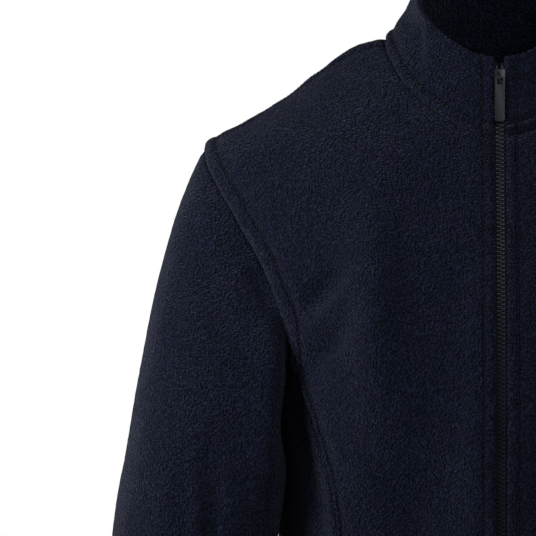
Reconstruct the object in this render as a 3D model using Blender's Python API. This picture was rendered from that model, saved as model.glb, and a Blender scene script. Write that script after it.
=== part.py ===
"""A fleece zip jacket, hollow, filled out as when it is worn and zipped to the top.

Metres, +Z up. The front faces -Y and the wearer's left is at +X. The origin lies between the
shoulders, level with the points where the shoulder seams meet the collar.
"""

import math

import bmesh
import bpy
import numpy as np
from mathutils import Vector

# ---------------------------------------------------------------- cloth and seams
FLEECE = 0.0022  # one layer of fleece
TURNED = 0.0044  # fleece turned up on itself, at the hem and the cuffs
DOUBLED = 0.0045  # the two layers of the collar
HALF_SEAM = 0.00017  # each piece stops this far short of its seam line
MOST_MITRE = 1.6  # how much a wall may lengthen where it turns sharply at a seam

HEM = -0.640  # height of the hem
COLLAR_SEAM_FRONT = -0.069  # height of the collar seam at the centre front
COLLAR_SEAM_BACK = -0.012
TURN_UP = 0.020  # depth of the turned hem and cuffs
STEP_OUT = 0.002  # the turned edge thins to one layer over this distance

RIGHT, LEFT = -1, 1

# ---------------------------------------------------------------- how finely the cloth is divided
HEM_ROWS = 2  # in the turned hem of every panel
PANEL_COLUMNS = 10  # across a front, and across half of the back
UNDERARM_COLUMNS = 8  # across a side panel
SIDE_ROWS = 16  # up a side seam, above the hem
ARMHOLE_ROWS = 10
FRONT_NECK_ROWS = 8
BACK_NECK_ROWS = 6
COLLAR_ROWS = 5
CAP_ROWS = 8  # from the armhole to the top of the arm's tube
ARM_ROWS = 13
SEAM_SAMPLES = 400
TOP_BEND = 5  # how late a panel's rows start to bend towards its top edge
CORNER = math.radians(135)  # a rim that turns more sharply than this is a corner

# ---------------------------------------------------------------- the body
# Level sections from the neck point down. The rows between the neck and the shoulder's tip
# follow the slope of the shoulder, so their half width grows quickly.
BODY_COLUMNS = ("height", "half_width", "front_depth", "back_depth", "squareness")
BODY_SECTIONS = [
    (0.0035, 0.0770, 0.020, 0.020, 2.00),
    (0.0000, 0.0994, 0.033, 0.036, 2.00),
    (-0.0063, 0.1106, 0.045, 0.048, 2.00),
    (-0.0161, 0.1218, 0.057, 0.060, 2.00),
    (-0.0300, 0.1380, 0.068, 0.073, 2.00),
    (-0.0460, 0.1605, 0.077, 0.084, 2.00),
    (-0.0600, 0.1835, 0.083, 0.091, 2.00),
    (-0.0728, 0.2058, 0.088, 0.096, 2.00),
    (-0.0820, 0.2125, 0.092, 0.099, 2.02),
    (-0.0950, 0.2165, 0.096, 0.102, 2.04),
    (-0.1100, 0.2160, 0.100, 0.105, 2.07),
    (-0.1300, 0.2095, 0.106, 0.108, 2.10),
    (-0.1568, 0.1970, 0.114, 0.110, 2.14),
    (-0.1834, 0.1850, 0.120, 0.110, 2.18),
    (-0.2079, 0.1745, 0.124, 0.109, 2.20),
    (-0.2480, 0.1630, 0.127, 0.105, 2.25),
    (-0.3000, 0.1575, 0.125, 0.099, 2.25),
    (-0.3480, 0.1555, 0.121, 0.094, 2.25),
    (-0.4200, 0.1535, 0.118, 0.090, 2.25),
    (-0.5000, 0.1600, 0.121, 0.099, 2.25),
    (-0.5800, 0.1700, 0.125, 0.110, 2.25),
    (-0.6400, 0.1740, 0.127, 0.113, 2.25),
]
CREST = 1.0  # an "across" of CREST is cut back to the section's own half width
SHOULDER_TIP = -0.0728

# Seams of one side as they lie on the body: distance from the centre, height, front or back.
SEAM_COLUMNS = ("across", "height", "face")
SHOULDER_SEAM = [
    (0.0800, -0.0012, "front"),
    (0.0900, -0.0026, "front"),
    (0.1000, -0.0058, "front"),
    (0.1150, -0.0152, "front"),
    (0.1290, -0.0253, "front"),
    (0.1430, -0.0359, "front"),
    (0.1700, -0.0538, "front"),
    (0.1900, -0.0650, "front"),
    (CREST, SHOULDER_TIP, "front"),
]
FRONT_ARMHOLE = [
    (0.1480, -0.2260, "front"),
    (0.1484, -0.2079, "front"),
    (0.1568, -0.1834, "front"),
    (0.1673, -0.1568, "front"),
    (0.1764, -0.1414, "front"),
    (0.1869, -0.1218, "front"),
    (0.1967, -0.1064, "front"),
    (0.2052, -0.0890, "front"),
    (CREST, SHOULDER_TIP, "front"),
]
BACK_ARMHOLE = [
    (0.1490, -0.2260, "back"),
    (0.1500, -0.2079, "back"),
    (0.1550, -0.1834, "back"),
    (0.1640, -0.1568, "back"),
    (0.1735, -0.1414, "back"),
    (0.1850, -0.1218, "back"),
    (0.1950, -0.1064, "back"),
    (0.2045, -0.0890, "back"),
    (CREST, SHOULDER_TIP, "back"),
]
UNDERARM = [
    (0.1480, -0.2260, "front"),
    (0.1530, -0.2400, "front"),
    (CREST, -0.2480, "front"),
    (0.1540, -0.2400, "back"),
    (0.1490, -0.2260, "back"),
]
FRONT_NECK = [
    (0.0042, COLLAR_SEAM_FRONT, "front"),
    (0.0200, -0.0660, "front"),
    (0.0371, -0.0560, "front"),
    (0.0525, -0.0450, "front"),
    (0.0686, -0.0280, "front"),
    (0.0749, -0.0170, "front"),
    (0.0800, -0.0012, "front"),
]
BACK_NECK = [
    (0.0000, COLLAR_SEAM_BACK, "back"),
    (0.0200, -0.0115, "back"),
    (0.0450, -0.0090, "back"),
    (0.0620, -0.0040, "back"),
    (0.0735, 0.0010, "back"),
    (CREST, 0.0035, "back"),
    (0.0800, -0.0012, "front"),
]
FRONT_SIDE_SEAM = [
    (0.1220, HEM, "front"),
    (0.1180, -0.5600, "front"),
    (0.1130, -0.4800, "front"),
    (0.1110, -0.4000, "front"),
    (0.1124, -0.3440, "front"),
    (0.1197, -0.3010, "front"),
    (0.1267, -0.2840, "front"),
    (0.1337, -0.2580, "front"),
    (0.1480, -0.2260, "front"),
]
BACK_SIDE_SEAM = [
    (0.1320, HEM, "back"),
    (0.1270, -0.5700, "back"),
    (0.1190, -0.4900, "back"),
    (0.1160, -0.4200, "back"),
    (0.1190, -0.3500, "back"),
    (0.1260, -0.3000, "back"),
    (0.1350, -0.2600, "back"),
    (0.1490, -0.2260, "back"),
]

# ---------------------------------------------------------------- the sleeves
# Rings of the arm's tube from the biceps to the cuff: centre, half width and half depth.
CUFF_END = -0.6680
SLEEVE_COLUMNS = ("height", "across", "forward", "half_width", "half_depth")
SLEEVE_RINGS = [
    (-0.3000, 0.2045, 0.043, 0.0590, 0.0620),
    (-0.3350, 0.2105, 0.042, 0.0588, 0.0612),
    (-0.3850, 0.2185, 0.040, 0.0565, 0.0590),
    (-0.4500, 0.2260, 0.046, 0.0505, 0.0530),
    (-0.5200, 0.2310, 0.061, 0.0450, 0.0475),
    (-0.5900, 0.2325, 0.077, 0.0395, 0.0420),
    (-0.6400, 0.2320, 0.089, 0.0368, 0.0388),
    (CUFF_END, 0.2318, 0.095, 0.0358, 0.0375),
]
SLEEVE_SQUARENESS = 2.3
CAP_OUTWARD = 0.32  # how far the sleeve heads outward as it leaves the armhole
CAP_FORWARD = 0.30  # and forward or back, at the front and back of the arm
CAP_FULLNESS = 0.78  # how far the sleeve keeps that heading
BODY_CLEARANCE = 0.0022  # between the inside of the arm and the body
CLEARANCE_ROUNDING = 0.003  # how gently the inside of the arm turns flat beside the body
CLEARANCE_FROM = -0.190  # below this height the sleeve is held clear of the body
ARM_STEP = 0.010  # the arm's direction is read over this distance
ARM_RADIUS = 0.055  # turns a fold's place around the arm into a distance

# ---------------------------------------------------------------- the collar
# A stand from its seam to its folded top edge, around the neck from the centre front.
COLLAR_COLUMNS = ("turn", "lean_in", "rise", "early_lean")
COLLAR_STAND = [
    (0, 0.0070, 0.0560, 1.0),
    (45, 0.0110, 0.0530, 1.1),
    (80, 0.0225, 0.0430, 1.6),
    (115, 0.0210, 0.0440, 1.5),
    (150, 0.0080, 0.0530, 1.1),
    (180, 0.0050, 0.0570, 1.0),
]
NECK_AXIS_FORWARD = 0.012  # the collar leans towards a line this far in front of the origin

# ---------------------------------------------------------------- folds
# Soft ridges (rise above 0) and troughs (below 0). A slant of 90 degrees runs upright, and 0
# runs level, away from the centre of the body.
BODY_FOLD_COLUMNS = ("side", "face", "across", "height", "slant", "half_length", "half_width", "rise")
BODY_FOLDS = [
    (RIGHT, "front", 0.1010, -0.185, 92, 0.050, 0.0150, 0.0040),
    (RIGHT, "front", 0.1270, -0.175, 75, 0.022, 0.0130, -0.0035),
    (RIGHT, "front", 0.1220, -0.216, 85, 0.022, 0.0130, -0.0035),
    (RIGHT, "front", 0.1000, -0.304, 128, 0.030, 0.0130, 0.0035),
    (LEFT, "front", 0.0980, -0.195, 84, 0.055, 0.0150, 0.0038),
    (LEFT, "front", 0.1290, -0.188, 100, 0.030, 0.0130, -0.0035),
    (LEFT, "front", 0.0930, -0.315, 140, 0.035, 0.0130, 0.0030),
    (RIGHT, "front", 0.1000, -0.405, 172, 0.055, 0.0140, -0.0035),
    (RIGHT, "front", 0.0820, -0.438, 12, 0.050, 0.0130, 0.0030),
    (LEFT, "front", 0.0960, -0.398, 8, 0.060, 0.0140, -0.0035),
    (LEFT, "front", 0.0860, -0.446, 170, 0.045, 0.0130, 0.0030),
    (RIGHT, "back", 0.1000, -0.200, 80, 0.060, 0.0170, 0.0035),
    (LEFT, "back", 0.0960, -0.212, 97, 0.055, 0.0170, 0.0035),
    (RIGHT, "back", 0.0400, -0.392, 174, 0.075, 0.0150, -0.0040),
    (LEFT, "back", 0.0550, -0.410, 10, 0.070, 0.0150, -0.0038),
    (RIGHT, "back", 0.0700, -0.448, 8, 0.060, 0.0150, 0.0035),
]
SLEEVE_FOLD_COLUMNS = ("side", "turn", "height", "slant", "half_length", "half_width", "rise")
SLEEVE_FOLDS = [
    (RIGHT, 92, -0.180, 120, 0.040, 0.0130, -0.0030),
    (RIGHT, 128, -0.218, 90, 0.045, 0.0110, 0.0030),
    (RIGHT, 70, -0.330, 92, 0.045, 0.0110, 0.0030),
    (RIGHT, 90, -0.330, 94, 0.045, 0.0100, -0.0026),
    (LEFT, 88, -0.188, 60, 0.040, 0.0130, -0.0030),
    (LEFT, 122, -0.226, 92, 0.050, 0.0110, 0.0030),
    (LEFT, 76, -0.338, 86, 0.050, 0.0120, 0.0028),
    (RIGHT, 118, -0.392, 8, 0.045, 0.0110, -0.0040),
    (RIGHT, 108, -0.420, 170, 0.040, 0.0110, 0.0030),
    (RIGHT, 126, -0.446, 12, 0.038, 0.0110, -0.0032),
    (LEFT, 112, -0.386, 172, 0.048, 0.0110, -0.0040),
    (LEFT, 124, -0.414, 6, 0.040, 0.0110, 0.0030),
    (LEFT, 104, -0.440, 168, 0.038, 0.0110, -0.0032),
    (RIGHT, 250, -0.370, 20, 0.045, 0.0140, 0.0030),
    (LEFT, 245, -0.360, 160, 0.045, 0.0140, 0.0030),
    (RIGHT, 80, -0.588, 8, 0.040, 0.0110, -0.0030),
    (RIGHT, 210, -0.606, 172, 0.038, 0.0110, -0.0030),
    (LEFT, 100, -0.596, 172, 0.040, 0.0110, -0.0030),
    (LEFT, 230, -0.580, 10, 0.038, 0.0110, -0.0030),
]

# ---------------------------------------------------------------- the zip
# Depths are measured inward from the outer face of the fronts.
ZIP_HALF_GAP = 0.0042  # from the centre line to each front's edge
TAPE_INNER, TAPE_OUTER = 0.0032, 0.0160
TAPE_THICKNESS = 0.0010
TAPE_BEHIND = 0.0005
TAPE_TRIM = 0.004  # the tapes stop this far short of the hem and of the collar's top
TEETH_INNER, TEETH_OUTER = 0.00015, 0.0029
TEETH_FRONT, TEETH_BACK = 0.0019, 0.0041
BOX_START, BOX_LENGTH = 0.004, 0.009
BOX_FRONT, BOX_BACK = 0.0014, 0.0046
TOP_MARGIN = 0.014  # from the collar's top edge down to the end of the teeth
STOP_START, STOP_LENGTH, STOP_INNER = 0.0053, 0.0025, 0.0012
PART_CLEARANCE = 0.0003

PLATE_HALF_WIDTH = 0.0038
PLATE_BELOW, PLATE_ABOVE = 0.0072, 0.0050
FRONT_PLATE = (0.0002, 0.0016)
BACK_PLATE = (0.0044, 0.0056)
POST_HALF_WIDTH = 0.0006
POST_SPAN = (0.0006, 0.0046)
BAIL_CENTRE = -0.0011  # along the zip, from the end of the teeth
BAIL_HALF_LENGTH = 0.0034
BAIL_HEIGHT = 0.0037
BAIL_WIRE = 0.0006
HINGE_ABOVE_PLATE = 0.00175
TAB_HALF_WIDTH, TAB_HALF_THICKNESS = 0.0035, 0.0007
TAB_TOP, TAB_BOTTOM = 0.0011, -0.0310
TAB_HOLE_TOP, TAB_HOLE_BOTTOM, TAB_HOLE_HALF_WIDTH = -0.0007, -0.0050, 0.0019
TAB_CORNER, TAB_HOLE_CORNER = 0.0016, 0.0006

# name: colour, roughness, metallic
FINISHES = {
    "fleece": ((0.014, 0.017, 0.032), 0.95, 0.0),
    "zip_tape": ((0.010, 0.012, 0.022), 0.80, 0.0),
    "zip_teeth": ((0.012, 0.014, 0.024), 0.40, 0.0),
    "zip_metal": ((0.045, 0.047, 0.055), 0.35, 0.9),
}


def clear_scene():
    for thing in list(bpy.data.objects):
        bpy.data.objects.remove(thing, do_unlink=True)


def new_collection(name):
    made = bpy.data.collections.new(name)
    bpy.context.scene.collection.children.link(made)
    return made


def finish(name):
    colour, roughness, metallic = FINISHES[name]
    material = bpy.data.materials.get(name) or bpy.data.materials.new(name)
    material.use_nodes = True
    shader = material.node_tree.nodes["Principled BSDF"]
    shader.inputs["Base Color"].default_value = (*colour, 1.0)
    shader.inputs["Roughness"].default_value = roughness
    shader.inputs["Metallic"].default_value = metallic
    return material


# ---------------------------------------------------------------- curves through the tables


class Smooth:
    """A curve through stations and values that never overshoots them."""

    def __init__(self, stations, values):
        self.stations = np.array(stations, float)
        self.values = np.array(values, float)
        slopes = np.diff(self.values) / np.diff(self.stations)
        self.slopes = np.zeros(len(self.values))
        self.slopes[0], self.slopes[-1] = slopes[0], slopes[-1]
        for i, (before, after) in enumerate(zip(slopes, slopes[1:]), start=1):
            if before * after > 0:
                self.slopes[i] = 2 * before * after / (before + after)

    def __call__(self, at):
        at = min(max(at, self.stations[0]), self.stations[-1])
        i = min(np.searchsorted(self.stations, at, side="right") - 1, len(self.stations) - 2)
        span = self.stations[i + 1] - self.stations[i]
        t = (at - self.stations[i]) / span
        rise = self.values[i + 1] - self.values[i]
        first = span * self.slopes[i]
        last = span * self.slopes[i + 1]
        bend = first + last - 2 * rise
        return float(self.values[i] + t * (first + t * (rise - first - bend + t * bend)))


def column(columns, rows, name):
    return [row[columns.index(name)] for row in rows]


def running_length(points):
    steps = [math.dist(a, b) for a, b in zip(points, points[1:])]
    return [0.0, *np.cumsum(steps)]


# A place on the body is a turn, from 0 at the centre front to 180 at the centre back, and a
# distance down its side line from the neck point.
SIDE_LINE = running_length([row[:2] for row in BODY_SECTIONS])
BODY = {name: Smooth(SIDE_LINE, column(BODY_COLUMNS, BODY_SECTIONS, name)) for name in BODY_COLUMNS}


def body_point(side, turn, down):
    power = 2 / BODY["squareness"](down)
    ahead = math.cos(math.radians(turn))
    depth = BODY["front_depth" if ahead > 0 else "back_depth"](down)
    x = BODY["half_width"](down) * max(0.0, math.sin(math.radians(turn))) ** power
    y = -math.copysign(depth * abs(ahead) ** power, ahead)
    return (side * x, y, BODY["height"](down))


def down_at(height):
    near, far = 0.0, SIDE_LINE[-1]
    for _ in range(50):
        middle = (near + far) / 2
        near, far = (middle, far) if BODY["height"](middle) > height else (near, middle)
    return (near + far) / 2


def place(across, height, face):
    down = down_at(height)
    share = min(1.0, across / BODY["half_width"](down)) ** (BODY["squareness"](down) / 2)
    turn = math.degrees(math.asin(share))
    return (turn if face == "front" else 180 - turn, down)


def evenly_spaced(rows, steps):
    """Places at equal distances along a seam."""
    knots = [place(*row) for row in rows]
    marks = running_length([body_point(LEFT, *knot) for knot in knots])
    turn, down = (Smooth(marks, values) for values in zip(*knots))
    fine = [(turn(mark), down(mark)) for mark in np.linspace(0, marks[-1], SEAM_SAMPLES)]
    lengths = running_length([body_point(LEFT, *spot) for spot in fine])
    stops = np.linspace(0, lengths[-1], steps + 1)
    turns, downs = (np.interp(stops, lengths, values) for values in zip(*fine))
    return [(float(a), float(b)) for a, b in zip(turns, downs)]


def row_heights(top, steps):
    """Heights of the rows of a panel: the turned hem, then even steps up to the top."""
    return [HEM, HEM + TURN_UP, *np.linspace(HEM + TURN_UP + STEP_OUT, top, steps + 1)]


def upright_seam(rows, heights):
    """Places where a seam crosses each of the heights."""
    across = Smooth(column(SEAM_COLUMNS, rows, "height"), column(SEAM_COLUMNS, rows, "across"))
    face = rows[0][SEAM_COLUMNS.index("face")]
    return [place(across(height), height, face) for height in heights]


def between(a, b, share):
    return tuple(p + (q - p) * share for p, q in zip(a, b))


def stretch_between(first_edge, last_edge, top_edge):
    """Rows of places from one edge to the other. The upper rows bend to meet the top edge."""
    columns = len(top_edge) - 1
    rows = []
    for i, (first, last) in enumerate(zip(first_edge, last_edge)):
        pull = (i / (len(first_edge) - 1)) ** TOP_BEND
        row = []
        for j, top in enumerate(top_edge):
            flat = between(first, last, j / columns)
            flat_top = between(top_edge[0], top_edge[-1], j / columns)
            row.append(tuple(f + pull * (t - s) for f, t, s in zip(flat, top, flat_top)))
        rows.append(row)
    return rows


# ---------------------------------------------------------------- cloth welded along its seams


class Cloth:
    """All the garment's points, shared where pieces meet, and the pieces cut from them."""

    def __init__(self):
        self.points = []
        self.known = {}
        self.pieces = {}
        self.normals = []
        self.mitres = []

    def point(self, place_in_space):
        key = tuple(round(c * 1e5) for c in place_in_space)
        if key not in self.known:
            self.known[key] = len(self.points)
            self.points.append(Vector(place_in_space))
        return self.known[key]

    def piece(self, name, rows, inside, thickness, closed=False):
        """Adds rows of points to a piece. Their faces turn away from the inside point."""
        grid = [[self.point(p) for p in row] for row in rows]
        faces = []
        for low, high in zip(grid, grid[1:]):
            columns = range(len(low) if closed else len(low) - 1)
            for j in columns:
                k = (j + 1) % len(low)
                faces.append((low[j], low[k], high[k], high[j]))
        away = 0.0
        for face in faces:
            corners = [self.points[p] for p in face]
            normal = (corners[2] - corners[0]).cross(corners[3] - corners[1])
            away += normal.dot(sum(corners, Vector()) / 4 - Vector(inside))
        piece = self.pieces.setdefault(name, {"grids": [], "faces": [], "walls": {}})
        piece["grids"].append(grid)
        piece["faces"] += faces if away > 0 else [face[::-1] for face in faces]
        for i, row in enumerate(grid):
            for j, point in enumerate(row):
                piece["walls"][point] = thickness(i, j)

    def settle_normals(self):
        """Each point's outward direction, and how much longer its wall is than it is thick."""
        sums = [Vector() for _ in self.points]
        around = [[] for _ in self.points]
        for piece in self.pieces.values():
            for face in piece["faces"]:
                for k, p in enumerate(face):
                    here = self.points[p]
                    ahead = self.points[face[(k + 1) % 4]] - here
                    behind = self.points[face[k - 1]] - here
                    corner = ahead.cross(behind)
                    if corner.length > 0:
                        corner.normalize()
                        sums[p] += corner * ahead.angle(behind)
                        around[p].append(corner)
        self.normals = [total.normalized() for total in sums]
        self.mitres = [
            min(MOST_MITRE, 1 / max(0.01, min(normal.dot(corner) for corner in corners)))
            for normal, corners in zip(self.normals, around)
        ]

    def inner_point(self, p, thickness):
        return self.points[p] - self.normals[p] * thickness * self.mitres[p]

    def pulled_in(self, piece):
        """How far each edge point of a piece moves in from its seam line."""
        edges = {}
        for face in piece["faces"]:
            for k in range(4):
                a, b = face[k], face[(k + 1) % 4]
                edges[(a, b)] = (b, a) not in edges
                if (b, a) in edges:
                    edges[(b, a)] = False
        rim = [edge for edge, open_side in edges.items() if open_side]
        beside = {}
        for a, b in rim:
            beside.setdefault(a, []).append(b)
            beside.setdefault(b, []).append(a)
        moves = {p: Vector() for p in beside}
        for face in piece["faces"]:
            centre = sum((self.points[p] for p in face), Vector()) / 4
            for p in face:
                if p in moves:
                    moves[p] += centre - self.points[p]
        for p, move in moves.items():
            move -= move.dot(self.normals[p]) * self.normals[p]
            first, last = (self.points[q] - self.points[p] for q in beside[p])
            if first.angle(last) > CORNER:
                along = (last - first).normalized()
                move -= move.dot(along) * along
                reach = HALF_SEAM
            else:
                reach = HALF_SEAM * math.sqrt(2)
            moves[p] = move.normalized() * reach
        return rim, moves

    def solid(self, name, collection, material):
        """Makes a piece's closed wall: its outer face, its inner face and the rim between."""
        piece = self.pieces[name]
        rim, moves = self.pulled_in(piece)
        used = sorted(piece["walls"])
        outer, inner = [], []
        for p in used:
            move = moves.get(p, Vector())
            outer.append(self.points[p] + move)
            inner.append(self.inner_point(p, piece["walls"][p]) + move)
        number = {p: i for i, p in enumerate(used)}
        deep = len(used)
        faces = []
        for face in piece["faces"]:
            ring = [number[p] for p in face]
            faces.append(ring)
            faces.append([i + deep for i in reversed(ring)])
        for a, b in rim:
            i, j = number[a], number[b]
            if a < b:
                faces += [[j, i, j + deep], [i, i + deep, j + deep]]
            else:
                faces += [[j, i, i + deep], [j, i + deep, j + deep]]
        mesh = bpy.data.meshes.new(name)
        mesh.from_pydata([*outer, *inner], [], faces)
        mesh.shade_smooth()
        mesh.set_sharp_from_angle(angle=math.radians(50))
        mesh.materials.append(material)
        made = bpy.data.objects.new(name, mesh)
        collection.objects.link(made)
        return made


def hem_thickness(row, _column):
    return TURNED if row < HEM_ROWS else FLEECE


def front_thickness(row, column_from_zip):
    """The hem is turned up as far as the zip, whose tape takes its place."""
    return TURNED if row < HEM_ROWS and column_from_zip > 1 else FLEECE


# ---------------------------------------------------------------- the pieces of the body


def half_pattern():
    """The places of the pieces of one half of the body."""
    side_heights = row_heights(FRONT_ARMHOLE[0][1], SIDE_ROWS)
    front_rows = len(side_heights) + ARMHOLE_ROWS - 1
    zip_steps = front_rows - FRONT_NECK_ROWS - HEM_ROWS
    spine_steps = front_rows - BACK_NECK_ROWS - HEM_ROWS
    zip_edge = [place(ZIP_HALF_GAP, z, "front") for z in row_heights(COLLAR_SEAM_FRONT, zip_steps)]
    spine = [(180.0, down_at(z)) for z in row_heights(COLLAR_SEAM_BACK, spine_steps)]
    front_neck = evenly_spaced(FRONT_NECK, FRONT_NECK_ROWS)
    back_neck = evenly_spaced(BACK_NECK, BACK_NECK_ROWS)
    front_side = upright_seam(FRONT_SIDE_SEAM, side_heights)
    back_side = upright_seam(BACK_SIDE_SEAM, side_heights)
    front_armhole = evenly_spaced(FRONT_ARMHOLE, ARMHOLE_ROWS)
    back_armhole = evenly_spaced(BACK_ARMHOLE, ARMHOLE_ROWS)
    underarm = evenly_spaced(UNDERARM, UNDERARM_COLUMNS)
    shoulder = evenly_spaced(SHOULDER_SEAM, PANEL_COLUMNS)
    return {
        "front": stretch_between(
            [*zip_edge[:-1], *front_neck], [*front_side[:-1], *front_armhole], shoulder
        ),
        "back": stretch_between([*spine[:-1], *back_neck], [*back_side[:-1], *back_armhole], shoulder),
        "side": stretch_between(front_side, back_side, underarm),
        "armhole": [*reversed(front_armhole), *underarm[1:-1], *back_armhole[:-1]],
        "neck": [*front_neck, *reversed(back_neck[:-1])],
    }


def on_body(side, rows):
    return [[body_point(side, *spot) for spot in row] for row in rows]


def add_body(cloth, pattern):
    chest = (0, 0, -0.35)
    for side, name in ((RIGHT, "right"), (LEFT, "left")):
        cloth.piece(f"front_{name}", on_body(side, pattern["front"]), chest, front_thickness)
        cloth.piece(f"side_{name}", on_body(side, pattern["side"]), chest, hem_thickness)
        cloth.piece("back", on_body(side, pattern["back"]), chest, hem_thickness)


def add_collar(cloth, pattern):
    turns = column(COLLAR_COLUMNS, COLLAR_STAND, "turn")
    shape = {name: Smooth(turns, column(COLLAR_COLUMNS, COLLAR_STAND, name)) for name in COLLAR_COLUMNS[1:]}
    right = [Vector(body_point(RIGHT, *spot)) for spot in pattern["neck"]]
    left = [Vector(body_point(LEFT, *spot)) for spot in pattern["neck"]]
    seam = [*right, *reversed(left[:-1])]
    rows = []
    for i in range(COLLAR_ROWS + 1):
        share = i / COLLAR_ROWS
        row = []
        for foot in seam:
            to_neck = Vector((-foot.x, -NECK_AXIS_FORWARD - foot.y, 0))
            turn = math.degrees(math.atan2(abs(to_neck.x), to_neck.y))
            lean = shape["lean_in"](turn) * (1 - (1 - share) ** shape["early_lean"](turn))
            row.append(foot + to_neck.normalized() * lean + Vector((0, 0, shape["rise"](turn) * share)))
        rows.append(row)
    last = len(seam) - 1

    def collar_thickness(_row, j):
        return FLEECE if j in (0, 1, last - 1, last) else DOUBLED

    cloth.piece("collar", rows, (0, -NECK_AXIS_FORWARD, 0), collar_thickness)


# ---------------------------------------------------------------- the sleeves


def body_side_at(y, height):
    """How far the body reaches to the side at a given depth and height."""
    down = down_at(height)
    power = BODY["squareness"](down)
    depth = BODY["front_depth" if y < 0 else "back_depth"](down)
    share = min(1.0, abs(y) / depth)
    return BODY["half_width"](down) * (1 - share**power) ** (1 / power)


def arm_ring(rings, height, turns):
    """One ring of the arm's tube, square to the line of the arm."""
    centre = Vector((rings["across"](height), -rings["forward"](height), height))
    lower = max(height - ARM_STEP, CUFF_END)
    upper = lower + ARM_STEP
    outward_step = rings["across"](lower) - rings["across"](upper)
    forward_step = rings["forward"](lower) - rings["forward"](upper)
    along = Vector((outward_step, -forward_step, -ARM_STEP)).normalized()
    outward = (Vector((1, 0, 0)) - along * along.x).normalized()
    forward = outward.cross(along)
    forward = forward if forward.y < 0 else -forward
    power = 2 / SLEEVE_SQUARENESS
    ring = []
    for turn in turns:
        c, s = math.cos(math.radians(turn)), math.sin(math.radians(turn))
        out = math.copysign(rings["half_width"](height) * abs(c) ** power, c)
        ahead = math.copysign(rings["half_depth"](height) * abs(s) ** power, s)
        ring.append(centre + outward * out + forward * ahead)
    return ring, along


def clear_of_body(point):
    """Moves a point of the sleeve out until it is clear of the side of the body."""
    if point.z > CLEARANCE_FROM:
        return point
    side = body_side_at(point.y, point.z) + BODY_CLEARANCE
    out = (point.x + side + math.hypot(point.x - side, CLEARANCE_ROUNDING)) / 2
    return Vector((out, point.y, point.z))


def sleeve_rows(pattern):
    """Rows of points from the armhole to the cuff, for the sleeve at +X, and the turn of each column."""
    armhole = [Vector(body_point(LEFT, *spot)) for spot in pattern["armhole"]]
    count = len(armhole)
    turns = [360 * i / count for i in range(count)]
    heights = column(SLEEVE_COLUMNS, SLEEVE_RINGS, "height")
    rings = {
        name: Smooth(heights[::-1], column(SLEEVE_COLUMNS, SLEEVE_RINGS, name)[::-1])
        for name in SLEEVE_COLUMNS[1:]
    }
    top, along = arm_ring(rings, heights[0], turns)
    rows = [armhole]
    for step in range(1, CAP_ROWS + 1):
        share = step / CAP_ROWS
        row = []
        for turn, start, end in zip(turns, armhole, top):
            way = end - start
            ahead, out = math.sin(math.radians(turn)), math.cos(math.radians(turn))
            spread = Vector((CAP_OUTWARD * (1 + out) / 2, -CAP_FORWARD * ahead, 0))
            heading = (way.normalized() + spread).normalized() * way.length * CAP_FULLNESS
            arrival = along * way.length * CAP_FULLNESS
            a, b = 1 + share * share * (2 * share - 3), share * (1 - share) ** 2
            c, d = share * share * (3 - 2 * share), share * share * (share - 1)
            row.append(clear_of_body(start * a + heading * b + end * c + arrival * d))
        rows.append(row)
    cuff = heights[-1]
    downs = [*np.linspace(heights[0], cuff + TURN_UP + STEP_OUT, ARM_ROWS + 1)[1:], cuff + TURN_UP, cuff]
    for height in downs:
        rows.append([clear_of_body(p) for p in arm_ring(rings, height, turns)[0]])
    return rows, turns


def add_sleeves(cloth, pattern):
    rows, turns = sleeve_rows(pattern)
    last = len(rows) - 1

    def cuff_thickness(i, _column):
        return TURNED if i >= last - 1 else FLEECE

    where = {}
    for side, name in ((RIGHT, "right"), (LEFT, "left")):
        mirrored = [[(side * p[0], p[1], p[2]) for p in row] for row in rows]
        inside = (side * 0.21, -0.04, -0.40)
        cloth.piece(f"sleeve_{name}", mirrored, inside, cuff_thickness, closed=True)
        for row in cloth.pieces[f"sleeve_{name}"]["grids"][0][1:]:
            for turn, point in zip(turns, row):
                where[point] = (side, turn)
    return where


# ---------------------------------------------------------------- folds


def fold_height(fold, aside, point):
    """A fold's rise at a point that lies this far aside of the fold's middle."""
    c, s = math.cos(math.radians(fold["slant"])), math.sin(math.radians(fold["slant"]))
    up = point.z - fold["height"]
    along, across = aside * c + up * s, up * c - aside * s
    return fold["rise"] * math.exp(-((along / fold["half_length"]) ** 2) - (across / fold["half_width"]) ** 2)


def crease(cloth, on_sleeve):
    """Moves the points in or out along their own normals by the folds in the tables."""
    cloth.settle_normals()
    body_folds = [dict(zip(BODY_FOLD_COLUMNS, row)) for row in BODY_FOLDS]
    sleeve_folds = [dict(zip(SLEEVE_FOLD_COLUMNS, row)) for row in SLEEVE_FOLDS]
    moves = []
    for p, (point, normal) in enumerate(zip(cloth.points, cloth.normals)):
        move = 0.0
        if p in on_sleeve:
            side, turn = on_sleeve[p]
            for fold in sleeve_folds:
                if fold["side"] == side:
                    aside = math.radians(fold["turn"] - turn) * ARM_RADIUS
                    move += fold_height(fold, aside, point)
        else:
            for fold in body_folds:
                facing = max(0.0, -normal.y if fold["face"] == "front" else normal.y)
                if point.x * fold["side"] >= 0:
                    move += facing * fold_height(fold, abs(point.x) - fold["across"], point)
        moves.append(normal * move)
    for point, move in zip(cloth.points, moves):
        point += move


# ---------------------------------------------------------------- the zip


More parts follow.
